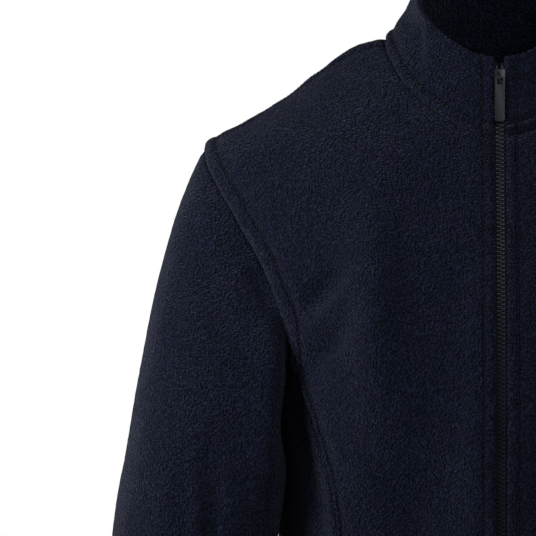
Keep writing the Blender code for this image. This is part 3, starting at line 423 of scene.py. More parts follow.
FOLD_COLUMNS = ("panel", "faces", "across", "up", "slant", "half_length", "half_width", "rise")
FOLDS = (
    # the chest: two hollows beside the armhole and the long ridge that they leave
    ("front_right", "front", -0.1225, -0.176, 48, 0.022, 0.0080, -0.0076),
    ("front_right", "front", -0.1215, -0.194, 46, 0.022, 0.0070, 0.0026),
    ("front_right", "front", -0.1195, -0.215, 50, 0.025, 0.0085, -0.0078),
    ("front_right", "front", -0.0865, -0.184, 91, 0.072, 0.0200, 0.0118),
    ("front_right", "front", -0.0560, -0.345, 80, 0.120, 0.0300, -0.0105),
    ("front_right", "front", -0.1020, -0.300, 128, 0.028, 0.0070, 0.0014),
    ("front_right", "front", -0.0700, -0.330, 118, 0.045, 0.0110, -0.0018),
    ("front_left", "front", 0.1215, -0.172, 130, 0.023, 0.0095, -0.0062),
    ("front_left", "front", 0.1180, -0.216, 124, 0.025, 0.0095, -0.0060),
    ("front_left", "front", 0.0905, -0.190, 88, 0.066, 0.0180, 0.0090),
    ("front_left", "front", 0.0520, -0.338, 100, 0.100, 0.0300, -0.0040),
    ("front_left", "front", 0.1040, -0.316, 55, 0.026, 0.0070, 0.0014),
    # soft drag lines at the waist and above the hem
    ("front_right", "front", -0.0900, -0.420, 158, 0.034, 0.0075, -0.0018),
    ("front_right", "front", -0.0750, -0.445, 150, 0.040, 0.0080, 0.0016),
    ("front_right", "front", -0.0800, -0.545, 84, 0.050, 0.0130, 0.0022),
    ("front_right", "front", -0.0400, -0.560, 95, 0.045, 0.0120, -0.0016),
    ("front_left", "front", 0.0950, -0.410, 20, 0.034, 0.0075, -0.0016),
    ("front_left", "front", 0.0800, -0.436, 30, 0.038, 0.0080, 0.0016),
    ("front_left", "front", 0.0700, -0.550, 97, 0.050, 0.0130, 0.0020),
    ("front_left", "front", 0.1080, -0.565, 84, 0.042, 0.0110, -0.0016),
    # the front of the sleeves: a flat face with a ridge at its inner edge, and a few long folds
    ("sleeve_right", "front", -0.1990, -0.184, 110, 0.030, 0.0100, -0.0022),
    ("sleeve_right", "front", -0.1550, -0.250, 87, 0.095, 0.0135, 0.0066),
    ("sleeve_right", "front", -0.2120, -0.340, 91, 0.045, 0.0065, 0.0028),
    ("sleeve_right", "front", -0.1985, -0.336, 90, 0.045, 0.0070, -0.0018),
    ("sleeve_right", "front", -0.1600, -0.310, 92, 0.090, 0.0120, 0.0050),
    ("sleeve_left", "front", 0.2010, -0.190, 72, 0.030, 0.0100, -0.0022),
    ("sleeve_left", "front", 0.1610, -0.244, 93, 0.090, 0.0150, 0.0060),
    ("sleeve_left", "front", 0.2120, -0.325, 93, 0.036, 0.0065, 0.0016),
    ("sleeve_left", "front", 0.2000, -0.330, 88, 0.040, 0.0060, -0.0016),
    # the bend of the elbow
    ("sleeve_right", "front", -0.1980, -0.400, 24, 0.026, 0.0065, -0.0026),
    ("sleeve_right", "front", -0.2040, -0.417, 12, 0.028, 0.0070, 0.0024),
    ("sleeve_right", "front", -0.2060, -0.438, 164, 0.026, 0.0060, -0.0020),
    ("sleeve_right", "front", -0.2180, -0.500, 80, 0.040, 0.0080, 0.0014),
    ("sleeve_left", "front", 0.2000, -0.394, 155, 0.026, 0.0065, -0.0024),
    ("sleeve_left", "front", 0.2050, -0.412, 168, 0.028, 0.0070, 0.0022),
    ("sleeve_left", "front", 0.2080, -0.435, 14, 0.024, 0.0060, -0.0020),
    ("sleeve_left", "front", 0.2200, -0.510, 99, 0.040, 0.0080, 0.0014),
    ("sleeve_right", "back", -0.2050, -0.330, 70, 0.040, 0.0090, -0.0020),
    ("sleeve_right", "back", -0.2150, -0.425, 15, 0.024, 0.0065, -0.0018),
    ("sleeve_left", "back", 0.2060, -0.338, 108, 0.038, 0.0090, -0.0020),
    ("sleeve_left", "back", 0.2160, -0.418, 166, 0.024, 0.0065, -0.0018),
    ("sleeve_right", "out", -0.0250, -0.300, 100, 0.060, 0.0100, -0.0016),
    ("sleeve_left", "out", -0.0200, -0.310, 82, 0.055, 0.0100, -0.0016),
    # the back: beside the armholes, over the shoulder blades and at the waist
    ("back", "back", -0.1300, -0.175, 74, 0.038, 0.0090, -0.0030),
    ("back", "back", -0.1080, -0.200, 86, 0.050, 0.0120, 0.0028),
    ("back", "back", 0.1310, -0.182, 107, 0.036, 0.0090, -0.0028),
    ("back", "back", 0.1090, -0.205, 93, 0.050, 0.0120, 0.0026),
    ("back", "back", -0.0300, -0.385, 172, 0.055, 0.0090, -0.0018),
    ("back", "back", 0.0200, -0.410, 8, 0.060, 0.0090, 0.0018),
    ("back", "back", 0.0400, -0.432, 14, 0.050, 0.0080, -0.0016),
    ("back", "back", -0.0650, -0.540, 87, 0.055, 0.0130, 0.0022),
    ("back", "back", 0.0150, -0.560, 92, 0.050, 0.0120, -0.0018),
    ("back", "back", 0.0800, -0.545, 95, 0.050, 0.0130, 0.0020),
    # under the arms, and the collar
    ("side_right", "out", -0.0100, -0.420, 160, 0.032, 0.0080, -0.0018),
    ("side_right", "out", 0.0100, -0.550, 88, 0.045, 0.0120, 0.0020),
    ("side_left", "out", -0.0050, -0.430, 22, 0.032, 0.0080, -0.0018),
    ("side_left", "out", 0.0080, -0.545, 93, 0.045, 0.0120, 0.0020),
    ("collar", "front", -0.0600, 0.004, 100, 0.019, 0.0055, -0.0100),
    ("collar", "front", 0.0580, 0.000, 82, 0.018, 0.0070, -0.0018),
    ("collar", "back", 0.0150, -0.004, 84, 0.016, 0.0090, -0.0012),
)
FACING = {"front": (1, -1), "back": (1, 1), "out": (0, None)}  # the axis and its sign, or outwards
HELD_BY_ZIP = (0.005, 0.032)  # the zip holds the cloth flat up to the first, not beyond the second
SUNK_UNDER_ARM = (("right", 0.0030), ("left", 0.0026))
SINKS_FROM, SINKS_TO = (-0.50, -0.34), (-0.235, -0.205)  # the heights over which it begins and ends
SUNK_STRIP = (0.016, 0.008)  # how far from the front's seam it is deepest, and how wide
SLEEVE_SINKS = (0.0022, 0.0052)  # beside the armhole, at the shoulder and at the underarm
SLEEVE_DEEPENS = (-0.215, -0.130)  # between these heights
SLEEVE_STRIP = (0.0028, 0.0075)  # as for SUNK_STRIP, from the armhole's seam
PUCKER, PUCKER_REACH = 0.0009, 0.016  # along the seams
UNEVEN, WAVY = 0.00028, 0.0007  # everywhere, in short and in long waves
PUCKERS, SHORT_WAVES, LONG_WAVES = 85.0, 260.0, 28.0  # a metre

free_of_zip = step(np.minimum(seams["zip_right"], seams["zip_left"]), *HELD_BY_ZIP)
for row in FOLDS:
    fold = dict(zip(FOLD_COLUMNS, row))
    turn = math.radians(fold["slant"])
    seen_along, sign = FACING[fold["faces"]]
    sign = sign or (-1 if fold["panel"].endswith("right") else 1)
    facing = np.clip(normals[:, seen_along] * sign, 0, 1) * belongs[fold["panel"]] * free_of_zip
    aside, up = points[:, 1 - seen_along] - fold["across"], height - fold["up"]
    along = (aside * math.cos(turn) + up * math.sin(turn)) / fold["half_length"]
    across = (up * math.cos(turn) - aside * math.sin(turn)) / fold["half_width"]
    relief += facing * fold["rise"] * np.exp(-(along**2) - across**2)

# the side panels sink in under the arms, beside the fronts
for side, depth in SUNK_UNDER_ARM:
    under_arm = step(height, *SINKS_FROM) * (1 - step(height, *SINKS_TO))
    beside_front = bump(seams[f"side_front_{side}"], *SUNK_STRIP)
    relief -= depth * under_arm * beside_front * belongs[f"side_{side}"]

# the sleeves sink in beside the armholes, more and more towards the underarm
for side in ("right", "left"):
    at_shoulder, at_underarm = SLEEVE_SINKS
    depth = at_shoulder + (at_underarm - at_shoulder) * (1 - step(height, *SLEEVE_DEEPENS))
    beside = bump(seams[f"armhole_{side}"], *SLEEVE_STRIP) * belongs[f"sleeve_{side}"]
    relief -= depth * beside * np.clip(-normals[:, 1], 0, 1)


def waves(per_metre, start=(0, 0, 0)):
    """Soft, uneven waves over the whole cloth, from -1 to 1."""
    return np.array([noise.noise(Vector(p) * per_metre + Vector(start)) for p in points])


nearest_seam = np.min(
    [d for name, d in seams.items() if not name.startswith(("hem", "cuff", "zip"))], axis=0
)
relief += PUCKER * waves(PUCKERS) * bump(nearest_seam, 0.0, PUCKER_REACH)
relief += UNEVEN * waves(SHORT_WAVES, (7, 3, 1))
relief += WAVY * waves(LONG_WAVES, (1, 9, 4))

unmoved = points
points = points + normals * relief[:, None]

# ---------------------------------------------------------------------------------------------
# Fleece. Dyed dark navy through and through. Its colour is painted lighter on the tops of the pile's
# pebbles as a painted highlight and darker in the pits between them as painted shade, and fine loose fibres
# give it a soft, faint bloom.

# the pits' colour is painted shade and the tops' colour a painted highlight, around the navy between them
NAVY_PIT_PAINTED_SHADE = (0.0032, 0.0043, 0.0108)
NAVY = (0.0071, 0.0093, 0.0222)
NAVY_TIP_PAINTED_HIGHLIGHT = (0.0172, 0.0212, 0.0480)
COOLER, WARMER = (0.92, 1.03, 1.0), (1.06, 0.98, 1.06)  # how the dye varies from place to place
PEBBLE, FIBRE = 0.00140, 0.0006  # a cell of the noise that curls the pile, and of the fibres'
PEBBLE_HEIGHT = 2.4  # of the pile's pebbles, in mm, where it stands up fully
FLATTENED = 0.6  # how high the pebbles are in worn patches, as a share of that
PATCHES, HUES = 30.0, 55.0  # patches a metre of flatter pile, and of another hue
GROOVE = 1.3  # depth of a line of stitches in the pile, in mm, and its width
GROOVE_WIDTH = 1.15
# the bottom of the stitches' groove is painted darker, to this share of the colour: painted shade
GROOVE_PAINTED_SHADE = 0.35  # how much light its bottom gets
STRAYS, STRAY = 150.0, 0.9  # how often a metre the groove strays, and how far in mm


def add_node(tree, kind, values=None, **settings):
    """A node with its settings made, and its sockets given by values or by other nodes' sockets."""
    made = tree.nodes.new(kind)
    for key, value in settings.items():
        setattr(made, key, value)
    for socket, value in (values or {}).items():
        if isinstance(value, bpy.types.NodeSocket):
            tree.links.new(value, made.inputs[socket])
        else:
            made.inputs[socket].default_value = value
    return made


def shade(colour, factor=1.0):
    """A colour made darker or lighter, as a socket takes it."""
    return (*(c * factor for c in colour), 1)


class Finish:
    """A material as it is built up, from the pattern in it to its surface."""

    def __init__(self, name):
        self.material = bpy.data.materials.new(name)
        self.material.use_nodes = True
        self.tree = self.material.node_tree
        self.tree.nodes.clear()

    def node(self, kind, values=None, **settings):
        return add_node(self.tree, "ShaderNode" + kind, values, **settings)

    def place(self):
        return self.node("TexCoord").outputs["Object"]

    def grain(self, place, scale, detail, **values):
        values.update({"Vector": place, "Scale": scale, "Detail": detail})
        return self.node("TexNoise", values).outputs["Fac"]

    def maths(self, operation, *values):
        return self.node("Math", dict(enumerate(values)), operation=operation).outputs["Value"]

    def ranged(self, value, low, high, to_low, to_high):
        values = {"Value": value, "From Min": low, "From Max": high, "To Min": to_low, "To Max": to_high}
        return self.node("MapRange", values).outputs["Result"]

    def mixed(self, share, first, second, **settings):
        values = {0: share, 6: first, 7: second}
        return self.node("Mix", values, data_type="RGBA", **settings).outputs[2]

    def raised(self, height, distance):
        return self.node("Bump", {"Height": height, "Distance": distance}).outputs["Normal"]

    def surface(self, **values):
        """Closes the finish with its shader, and returns the material."""
        named = {key.replace("_", " "): value for key, value in values.items()}
        shader = self.node("BsdfPrincipled", named)
        self.node("OutputMaterial", {"Surface": shader.outputs["BSDF"]})
        return self.material


def fleece_material():
    fleece = Finish("navy_fleece")
    maths, ranged = fleece.maths, fleece.ranged
    place = fleece.place()
    curls = fleece.grain(place, 1 / PEBBLE, 0.6, Roughness=0.4, Distortion=0.4)
    fibres = fleece.grain(place, 1 / FIBRE, 2.0, Roughness=0.6)
    patches = fleece.grain(place, PATCHES, 3.0)
    hues = fleece.grain(place, HUES, 2.0)
    pile = maths("MULTIPLY_ADD", fibres, 0.25, ranged(curls, 0.28, 0.70, 0.0, 1.0))

    stitches = fleece.node("Attribute", attribute_name="from_stitches").outputs["Fac"]
    strays = ranged(fleece.grain(place, STRAYS, 2.0), 0.0, 1.0, -STRAY, STRAY)
    strayed = maths("ADD", stitches, strays)
    squared_off = maths("MULTIPLY", strayed, strayed)
    groove = maths("EXPONENT", maths("MULTIPLY", squared_off, -1 / GROOVE_WIDTH**2))

    # the pile's height painted into its colour: painted shade in the pits, a painted highlight on the tops
    painted_pile_light = fleece.node("ValToRGB", {"Fac": ranged(pile, 0.1, 1.1, 0.0, 1.0)})
    ramp = painted_pile_light.color_ramp
    ramp.elements[0].position, ramp.elements[0].color = 0.0, shade(NAVY_PIT_PAINTED_SHADE)
    ramp.elements[1].position, ramp.elements[1].color = 1.0, shade(NAVY_TIP_PAINTED_HIGHLIGHT)
    ramp.elements.new(0.5).color = shade(NAVY)
    dye = fleece.mixed(ranged(hues, 0.38, 0.62, 0.0, 1.0), shade(COOLER), shade(WARMER))
    dyed = fleece.mixed(1.0, painted_pile_light.outputs["Color"], dye, blend_type="MULTIPLY")
    patchy = ranged(patches, 0.25, 0.75, 0.85, 1.15)
    # the colour varies with the patches of flatter pile, and is darkened in the stitches' groove as painted
    # shade
    light = maths("MULTIPLY", patchy, ranged(groove, 0.0, 1.0, 1.0, GROOVE_PAINTED_SHADE))
    colour = fleece.node("VectorMath", {0: dyed, "Scale": light}, operation="SCALE")

    standing = ranged(patches, 0.35, 0.65, FLATTENED * PEBBLE_HEIGHT, PEBBLE_HEIGHT)
    height_mm = maths("ADD", maths("MULTIPLY", pile, standing), maths("MULTIPLY", groove, -GROOVE))
    return fleece.surface(
        Base_Color=colour.outputs["Vector"],
        Roughness=0.95,
        Specular_IOR_Level=0.08,
        Sheen_Weight=0.08,
        Sheen_Roughness=0.4,
        Sheen_Tint=(0.7, 0.8, 1.0, 1),
        Normal=fleece.raised(height_mm, 0.001),
    )


navy_fleece = fleece_material()

# ---------------------------------------------------------------------------------------------
# The panels, cut apart again. Each is one layer of fleece, whose inner face follows the outer at
# the cloth's own thickness, and two where the hem and the cuffs are turned up and in the collar.

SINGLE_AT_NECK = 0.004  # the collar is one layer thick this near its seam

fine_points = lookup(unmoved)
fine_of_coarse = np.array([fine_points.find(p)[1] for p in coarse_points])

turned = body_cloth & (seams["hem"] < TURN_UP)
for side in ("right", "left"):
    turned |= belongs[f"sleeve_{side}"] & (points[:, 2] < CUFF_TOP) & (seams[f"cuff_{side}"] < TURN_UP)
doubled = belongs["collar"] & (nearest_seam > SINGLE_AT_NECK)


def rim_of(rings):
    """The unshared edges of a set of faces, from each corner to the next one along the rim."""
    following = {}
    for ring in rings:
        for k in range(4):
            a, b = int(ring[k]), int(ring[(k + 1) % 4])
            following.setdefault(a, set()).add(b)
    return {a: b for a, ends in following.items() for b in ends if a not in following.get(b, ())}


def lapped(rings, following):
    """How far each corner of a panel's rim moves, so that the panel runs past its seam line."""
    beside = {}
    for ring in rings:
        for i in ring:
            if int(i) in following:
                beside.setdefault(int(i), []).append(points[ring].mean(axis=0))
    lap = {}
    for i, centres in beside.items():
        inward = np.mean(centres, axis=0) - points[i]
        inward -= np.dot(inward, normals[i]) * normals[i]
        lap[i] = inward / (np.linalg.norm(inward) + 1e-12) * -SEAM_LAP
    return lap


def make_panel(name):
    """A panel's outer face, its inner face with cells twice as long, and the strip between them."""
    k = PANELS.index(name)
    rings = faces[owner == k]
    inner_rings = fine_of_coarse[coarse_faces[coarse_owner == k]]
    used, inner_used = np.unique(rings), np.unique(inner_rings)
    following = rim_of(rings)
    lap = lapped(rings, following)
    number = {int(i): n for n, i in enumerate(used)}
    inner_number = {int(i): n + len(used) for n, i in enumerate(inner_used)}
    corners = [points[i] + lap.get(int(i), 0.0) for i in used]
    for i in inner_used:
        wall = TURNED if turned[i] or doubled[i] else FLEECE
        corners.append(points[i] + lap.get(int(i), 0.0) - normals[i] * wall)
    all_faces = [[number[int(i)] for i in ring] for ring in rings]
    all_faces += [[inner_number[int(i)] for i in ring[::-1]] for ring in inner_rings]
    for a in following:
        if a in inner_number:
            b = following[following[a]]
            while b not in inner_number:
                b = following[b]
            all_faces.append([number[b], number[following[a]], number[a], inner_number[a], inner_number[b]])
    mesh = bpy.data.meshes.new(name + "_cloth")
    mesh.from_pydata([tuple(c) for c in corners], [], all_faces)
    mesh.materials.append(navy_fleece)
    mesh.shade_smooth()
    in_mm = np.concatenate([from_stitches[used], np.full(len(inner_used), FAR)]) * 1000
    stitched = mesh.attributes.new("from_stitches", "FLOAT", "POINT")
    stitched.data.foreach_set("value", in_mm.astype(np.float32))
    made = placed(name + "_cloth", mesh)
    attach(made, "jacket")
    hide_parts(name)
    return made


cloth = {name: make_panel(name) for name in PANELS}

# ---------------------------------------------------------------------------------------------
# Topstitching. Polyester thread in the fleece's own navy, lockstitched through both layers. Each
# stitch lies sunk in the pile along the edge of its band.

STITCH = 0.0030  # from one stitch to the next
STITCH_SHARE = 0.88  # of that, the length of the stitch
THREAD = 0.00024  # half the thread's thickness
THREAD_SUNK = 0.6  # how deep it lies in the cloth, as a share of that half
ENDS_BEFORE_HEM = 0.0030  # a row that runs down to a hem or a cuff ends this far above it
SHORTEST_ROW = 7  # in crossings of the cloth's cells
NEAR_ROW = 0.006  # a cell all of whose corners lie within this may be crossed by a row
STITCH_SEED = 7
SHORTEST_STITCH, LONGEST_STITCH = (0.85, 0.85, 0.86), (1.15, 1.15, 1.06)  # thickness and length
TWIST = 2200.0  # shades a metre in the thread
NAVY_THREAD = (0.0075, 0.0095, 0.0240)

from_edge = np.min([seams["hem"], seams["cuff_right"], seams["cuff_left"]], axis=0)


def stitch_lines(signed, mask):
    """The lines on the cloth along which a distance is zero, as lists of points."""
    sewn = mask & (from_edge > ENDS_BEFORE_HEM)
    whole = sewn[faces].all(axis=1) & (np.abs(signed[faces]) < NEAR_ROW).all(axis=1)
    sides = signed[faces] > 0
    crossed = np.flatnonzero(whole & sides.any(axis=1) & ~sides.all(axis=1))
    place, joined = {}, {}
    for f in crossed:
        ends = []
        for k in range(4):
            a, b = sorted((int(faces[f][k - 1]), int(faces[f][k])))
            if (signed[a] > 0) != (signed[b] > 0):
                share = signed[a] / (signed[a] - signed[b])
                surface = points[a] * (1 - share) + points[b] * share
                place[a, b] = surface + normals[a] * THREAD * (1 - THREAD_SUNK)
                ends.append((a, b))
        if len(ends) == 2:
            joined.setdefault(ends[0], []).append(ends[1])
            joined.setdefault(ends[1], []).append(ends[0])
    lines, used = [], set()
    for start in sorted(joined, key=lambda end: (len(joined[end]), end)):
        if start in used:
            continue
        line, here = [], start
        while here is not None:
            used.add(here)
            line.append(place[here])
            here = next((end for end in joined[here] if end not in used), None)
        if len(line) >= SHORTEST_ROW:
            lines.append(np.array(line))
    return lines


def eased_curve(name, lines):
    """One curve object through lines of points, their small kinks taken out."""
    curve = bpy.data.curves.new(name, "CURVE")
    curve.dimensions = "3D"
    for line in lines:
        eased = line.copy()
        for _ in range(3):
            eased[1:-1] = (eased[:-2] + 2 * eased[1:-1] + eased[2:]) / 4
        spline = curve.splines.new("POLY")
        spline.points.add(len(eased) - 1)
        spline.points.foreach_set("co", np.column_stack([eased, np.ones(len(eased))]).ravel())
    return placed(name, curve)


class Pattern:
    """A Geometry Nodes tree with named inputs, put on an object and turned into a plain mesh."""

    def __init__(self, name):
        self.tree = bpy.data.node_groups.new(name, "GeometryNodeTree")
        self.tree.interface.new_socket("Geometry", in_out="INPUT", socket_type="NodeSocketGeometry")
        self.tree.interface.new_socket("Geometry", in_out="OUTPUT", socket_type="NodeSocketGeometry")
        self.inputs = {}
        self.start = self.tree.nodes.new("NodeGroupInput")

    def value(self, name, kind, value):
        socket = self.tree.interface.new_socket(name, in_out="INPUT", socket_type=f"NodeSocket{kind}")
        self.inputs[socket.identifier] = value
        return next(s for s in self.start.outputs if s.identifier == socket.identifier)

    def node(self, kind, values=None, **settings):
        return add_node(self.tree, kind, values, **settings)

    def laid(self, row, instance, turn, scale=(1, 1, 1)):
        """One instance at every point of a row."""
        values = {"Points": row, "Instance": instance, "Rotation": turn, "Scale": scale}
        return self.node("GeometryNodeInstanceOnPoints", values).outputs["Instances"]

    def finish(self, geometry, material, carrier, name):
        """Ends the tree, runs it on its carrier, and returns its result as a plain mesh object."""
        finish = self.value("Material", "Material", material)
        real = self.node("GeometryNodeRealizeInstances", {"Geometry": geometry}).outputs["Geometry"]
        coloured = self.node("GeometryNodeSetMaterial", {"Geometry": real, "Material": finish})
        end = self.tree.nodes.new("NodeGroupOutput")
        self.tree.links.new(coloured.outputs["Geometry"], end.inputs[0])
        modifier = carrier.modifiers.new(name, "NODES")
        modifier.node_group = self.tree
        for identifier, value in self.inputs.items():
            modifier[identifier] = value
        evaluated = carrier.evaluated_get(bpy.context.evaluated_depsgraph_get())
        mesh = bpy.data.meshes.new_from_object(evaluated)
        mesh.name = name
        carrier.modifiers.remove(modifier)
        bpy.data.objects.remove(carrier)
        return placed(name, mesh)


def thread_material():
    thread = Finish("navy_thread")
    twist = thread.grain(thread.place(), TWIST, 2.0)
    return thread.surface(
        Base_Color=thread.mixed(twist, shade(NAVY_THREAD, 0.7), shade(NAVY_THREAD, 1.4)),
        Roughness=0.6,
        Specular_IOR_Level=0.25,
        Normal=thread.raised(twist, 0.0001),
    )


def sew(lines):
    """Lays a stitch every few millimetres along the lines, each a little different."""
    pattern = Pattern("topstitch")
    pitch = pattern.value("Stitch", "Float", STITCH)
    half = pattern.value("Thread", "Float", THREAD)
    seed = pattern.value("Seed", "Int", STITCH_SEED)
    along = {"Curve": pattern.start.outputs[0], "Length": pitch}
    row = pattern.node("GeometryNodeCurveToPoints", along, mode="LENGTH")
    turn = pattern.node("FunctionNodeAlignRotationToVector", {"Vector": row.outputs["Tangent"]}, axis="Z")
    long = pattern.node("ShaderNodeMath", {0: pitch, 1: STITCH_SHARE / 2}, operation="MULTIPLY").outputs[0]
    size = pattern.node("ShaderNodeCombineXYZ", {"X": half, "Y": half, "Z": long}).outputs[0]
    ball = pattern.node("GeometryNodeMeshUVSphere", {"Segments": 6, "Rings": 4, "Radius": 1.0})
    stitch = pattern.node("GeometryNodeTransform", {"Geometry": ball.outputs["Mesh"], "Scale": size})
    spread = {"Min": SHORTEST_STITCH, "Max": LONGEST_STITCH, "Seed": seed}
    vary = pattern.node("FunctionNodeRandomValue", spread, data_type="FLOAT_VECTOR").outputs["Value"]
    laid = pattern.laid(row.outputs["Points"], stitch.outputs["Geometry"], turn.outputs["Rotation"], vary)
    return pattern.finish(laid, thread_material(), eased_curve("rows", lines), "topstitching")


rows = [line for signed, mask in stitch_rows for line in stitch_lines(signed, mask)]
topstitching = sew(rows)
topstitching.data.shade_smooth()
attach(topstitching, "jacket")

# ---------------------------------------------------------------------------------------------
# Zip tapes. Woven polyester twill, one behind each front edge from the hem to the top of the
# collar, stitched through the fleece. Only a narrow line of each shows beside the teeth.

TAPE_INNER, TAPE_OUTER = 0.0032, 0.0160  # the long edges of the tape's solid
TAPE_EDGE = 0.0007  # the woven edge itself, inside the teeth that grip it
TAPE_THICKNESS = 0.0010
TAPE_STEPS = 150
TWILL_SCALE = 200.0  # of the wave texture, whose diagonal ribs then lie 2.2 mm apart
TAPE_NAVY = (0.0065, 0.0080, 0.0190)
CORNER_SLACK = 2e-4  # how near a corner of the solid must lie to the edge that it is taken for


def corner_pairs(node, keep):
    """The corners of a long node that pass a test, two at each height, from bottom to top."""
    corners = np.array([v.co[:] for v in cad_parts[node].data.vertices])
    corners = np.unique(np.round(corners, 6), axis=0)
    corners = corners[keep(corners)]
    return corners[np.argsort(corners[:, 2])].reshape(-1, 2, 3)


def evened(line):
    """A line laid out anew in even steps and smoothed, with each step's distance along it."""
    along = np.concatenate([[0.0], np.cumsum(np.linalg.norm(np.diff(line, axis=0), axis=1))])
    marks = np.linspace(0, along[-1], TAPE_STEPS)
    even = np.column_stack([np.interp(marks, along, line[:, axis]) for axis in range(3)])
    for _ in range(6):
        even[1:-1] = (even[:-2] + 2 * even[1:-1] + even[2:]) / 4
    return even, marks


def woven(name):
    """The tape's four long edges from bottom to top: inner front and back, outer front and back."""
    lines = []
    for reach in (TAPE_INNER, TAPE_OUTER):
        pairs = corner_pairs(name, lambda p: np.abs(np.abs(p[:, 0]) - reach) < CORNER_SLACK)
        front = np.array([min(pair, key=lambda p: p[1]) for pair in pairs])
        behind = np.array([max(pair, key=lambda p: p[1]) for pair in pairs])
        for edge in (front, behind):
            line, marks = evened(edge)
            if reach == TAPE_INNER:
                line[:, 0] = math.copysign(TAPE_EDGE, line[0, 0])
            lines.append((line, marks))
    return lines


def tape_material():
    tape = Finish("woven_tape")
    place = tape.node("UVMap", uv_map="tape").outputs["UV"]
    wave = {"Vector": place, "Scale": TWILL_SCALE, "Distortion": 0.6, "Detail Scale": 4.0}
    ribs = tape.node("TexWave", wave, bands_direction="DIAGONAL").outputs["Fac"]
    return tape.surface(
        Base_Color=tape.mixed(ribs, shade(TAPE_NAVY, 0.6), shade(TAPE_NAVY, 1.5)),
        Roughness=0.75,
        Specular_IOR_Level=0.2,
        Sheen_Weight=0.1,
        Normal=tape.raised(ribs, 0.00015),
    )


def make_tape(name, material):
    """A strip between its four long edges, with its ends closed and a UV map in metres along it."""
    (inner, marks), (inner_back, _), (outer, _), (outer_back, _) = woven(name)
    ring = (inner, outer, outer_back, inner_back)
    width = TAPE_OUTER - TAPE_EDGE
    across = np.cumsum((0.0, width, TAPE_THICKNESS, width, TAPE_THICKNESS))
    shape = bmesh.new()
    uv = shape.loops.layers.uv.new("tape")
    rows = [[shape.verts.new(line[k]) for line in ring] for k in range(TAPE_STEPS)]
    for k in range(TAPE_STEPS - 1):
        for c in range(4):
            corners = (rows[k][c], rows[k][(c + 1) % 4], rows[k + 1][(c + 1) % 4], rows[k + 1][c])
            face = shape.faces.new(corners)
            spots = ((c, k), (c + 1, k), (c + 1, k + 1), (c, k + 1))
            for loop, (step_across, step_along) in zip(face.loops, spots):
                loop[uv].uv = (across[step_across], marks[step_along])
    shape.faces.new(rows[0])
    shape.faces.new(rows[-1][::-1])
    bmesh.ops.recalc_face_normals(shape, faces=shape.faces)
    mesh = bpy.data.meshes.new(name + "_woven")
    shape.to_mesh(mesh)
    shape.free()
    mesh.materials.append(material)
    made = placed(name + "_woven", mesh)
    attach(made, "jacket")
    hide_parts(name)
    return made


woven_tape = tape_material()
for name in ("zip_tape_right", "zip_tape_left"):
    tape = make_tape(name, woven_tape)
    front = "front_right" if name.endswith("right") else "front_left"

# ---------------------------------------------------------------------------------------------
# Zip teeth. Moulded plastic, clamped on each tape's edge, a head and a neck on every tooth, and
# the two rows locked into each other from the box at the hem up to the slider.

TOOTH_PITCH = 0.0030
TOOTH_DEPTH = 0.0022
TOOTH_BEVEL = 0.00018
MIDDLE_SLACK = 3e-4  # how near to the middle the two strips' inner corners lie
GRAIN = 900.0  # spots a metre in the plastic's skin
ZIP_ROUGHNESS = 0.42
ZIP_NAVY = (0.0085, 0.0100, 0.0190)
# half of a tooth's outline: across the zip from the tape to the head, and up
TOOTH_OUTLINE = ((0.0029, 0.00075), (0.0014, 0.00080), (0.0007, 0.00042), (0.0001, 0.00050))
TOOTH_OUTLINE += ((-0.0004, 0.00068), (-0.0009, 0.00036))


def plastic_material():
    plastic = Finish("zip_plastic")
    grain = plastic.grain(plastic.place(), GRAIN, 3.0)
    return plastic.surface(
        Base_Color=plastic.mixed(grain, shade(ZIP_NAVY, 0.8), shade(ZIP_NAVY, 1.25)),
        Roughness=plastic.ranged(grain, 0.0, 1.0, ZIP_ROUGHNESS - 0.08, ZIP_ROUGHNESS + 0.10),
        Specular_IOR_Level=0.45,
        Normal=plastic.raised(grain, 0.00003),
    )


def single_tooth():
    """One tooth in the zip's middle plane, its edges slightly rounded."""
    shape = bmesh.new()
    outline = [(x, -z) for x, z in TOOTH_OUTLINE] + [(x, z) for x, z in TOOTH_OUTLINE[::-1]]
    front = [shape.verts.new((x, -TOOTH_DEPTH / 2, z)) for x, z in outline]
    behind = [shape.verts.new((x, TOOTH_DEPTH / 2, z)) for x, z in outline]
    shape.faces.new(front)
    shape.faces.new(behind[::-1])
    for k in range(len(outline)):
        shape.faces.new((front[k - 1], front[k], behind[k], behind[k - 1]))
    bmesh.ops.recalc_face_normals(shape, faces=shape.faces)
    rim = [e for e in shape.edges if abs(e.verts[0].co.y - e.verts[1].co.y) < 1e-6]
    bmesh.ops.bevel(shape, geom=rim, offset=TOOTH_BEVEL, segments=1, affect="EDGES", clamp_overlap=True)
    mesh = bpy.data.meshes.new("tooth")
    shape.to_mesh(mesh)
    shape.free()
    return placed("tooth", mesh)


def row_of_teeth(name, node, facing, first, last, count):
    """The teeth of one tape, evenly spaced between two places along the zip."""
    pattern = Pattern(name)
    start = pattern.value("First tooth", "Float", first)
    end = pattern.value("Last tooth", "Float", last)
    teeth = pattern.value("Teeth", "Int", count)
    shape = pattern.value("Tooth", "Object", tooth)
    line = {"Curve": pattern.start.outputs[0], 4: start, 5: end}
    cut = pattern.node("GeometryNodeTrimCurve", line, mode="LENGTH")
    points_along = {"Curve": cut.outputs["Curve"], "Count": teeth}
    row = pattern.node("GeometryNodeCurveToPoints", points_along, mode="COUNT")
    ways = {0: row.outputs["Tangent"], 1: facing}
    turn = pattern.node("FunctionNodeAxesToRotation", ways, primary_axis="Z", secondary_axis="X")
    one = pattern.node("GeometryNodeObjectInfo", {"Object": shape}).outputs["Geometry"]
    laid = pattern.laid(row.outputs["Points"], one, turn.outputs["Rotation"])
    made = pattern.finish(laid, zip_plastic, eased_curve(name + "_line", [zip_middle]), name)
    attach(made, "jacket")
    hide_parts(node)


zip_plastic = plastic_material()
tooth = single_tooth()
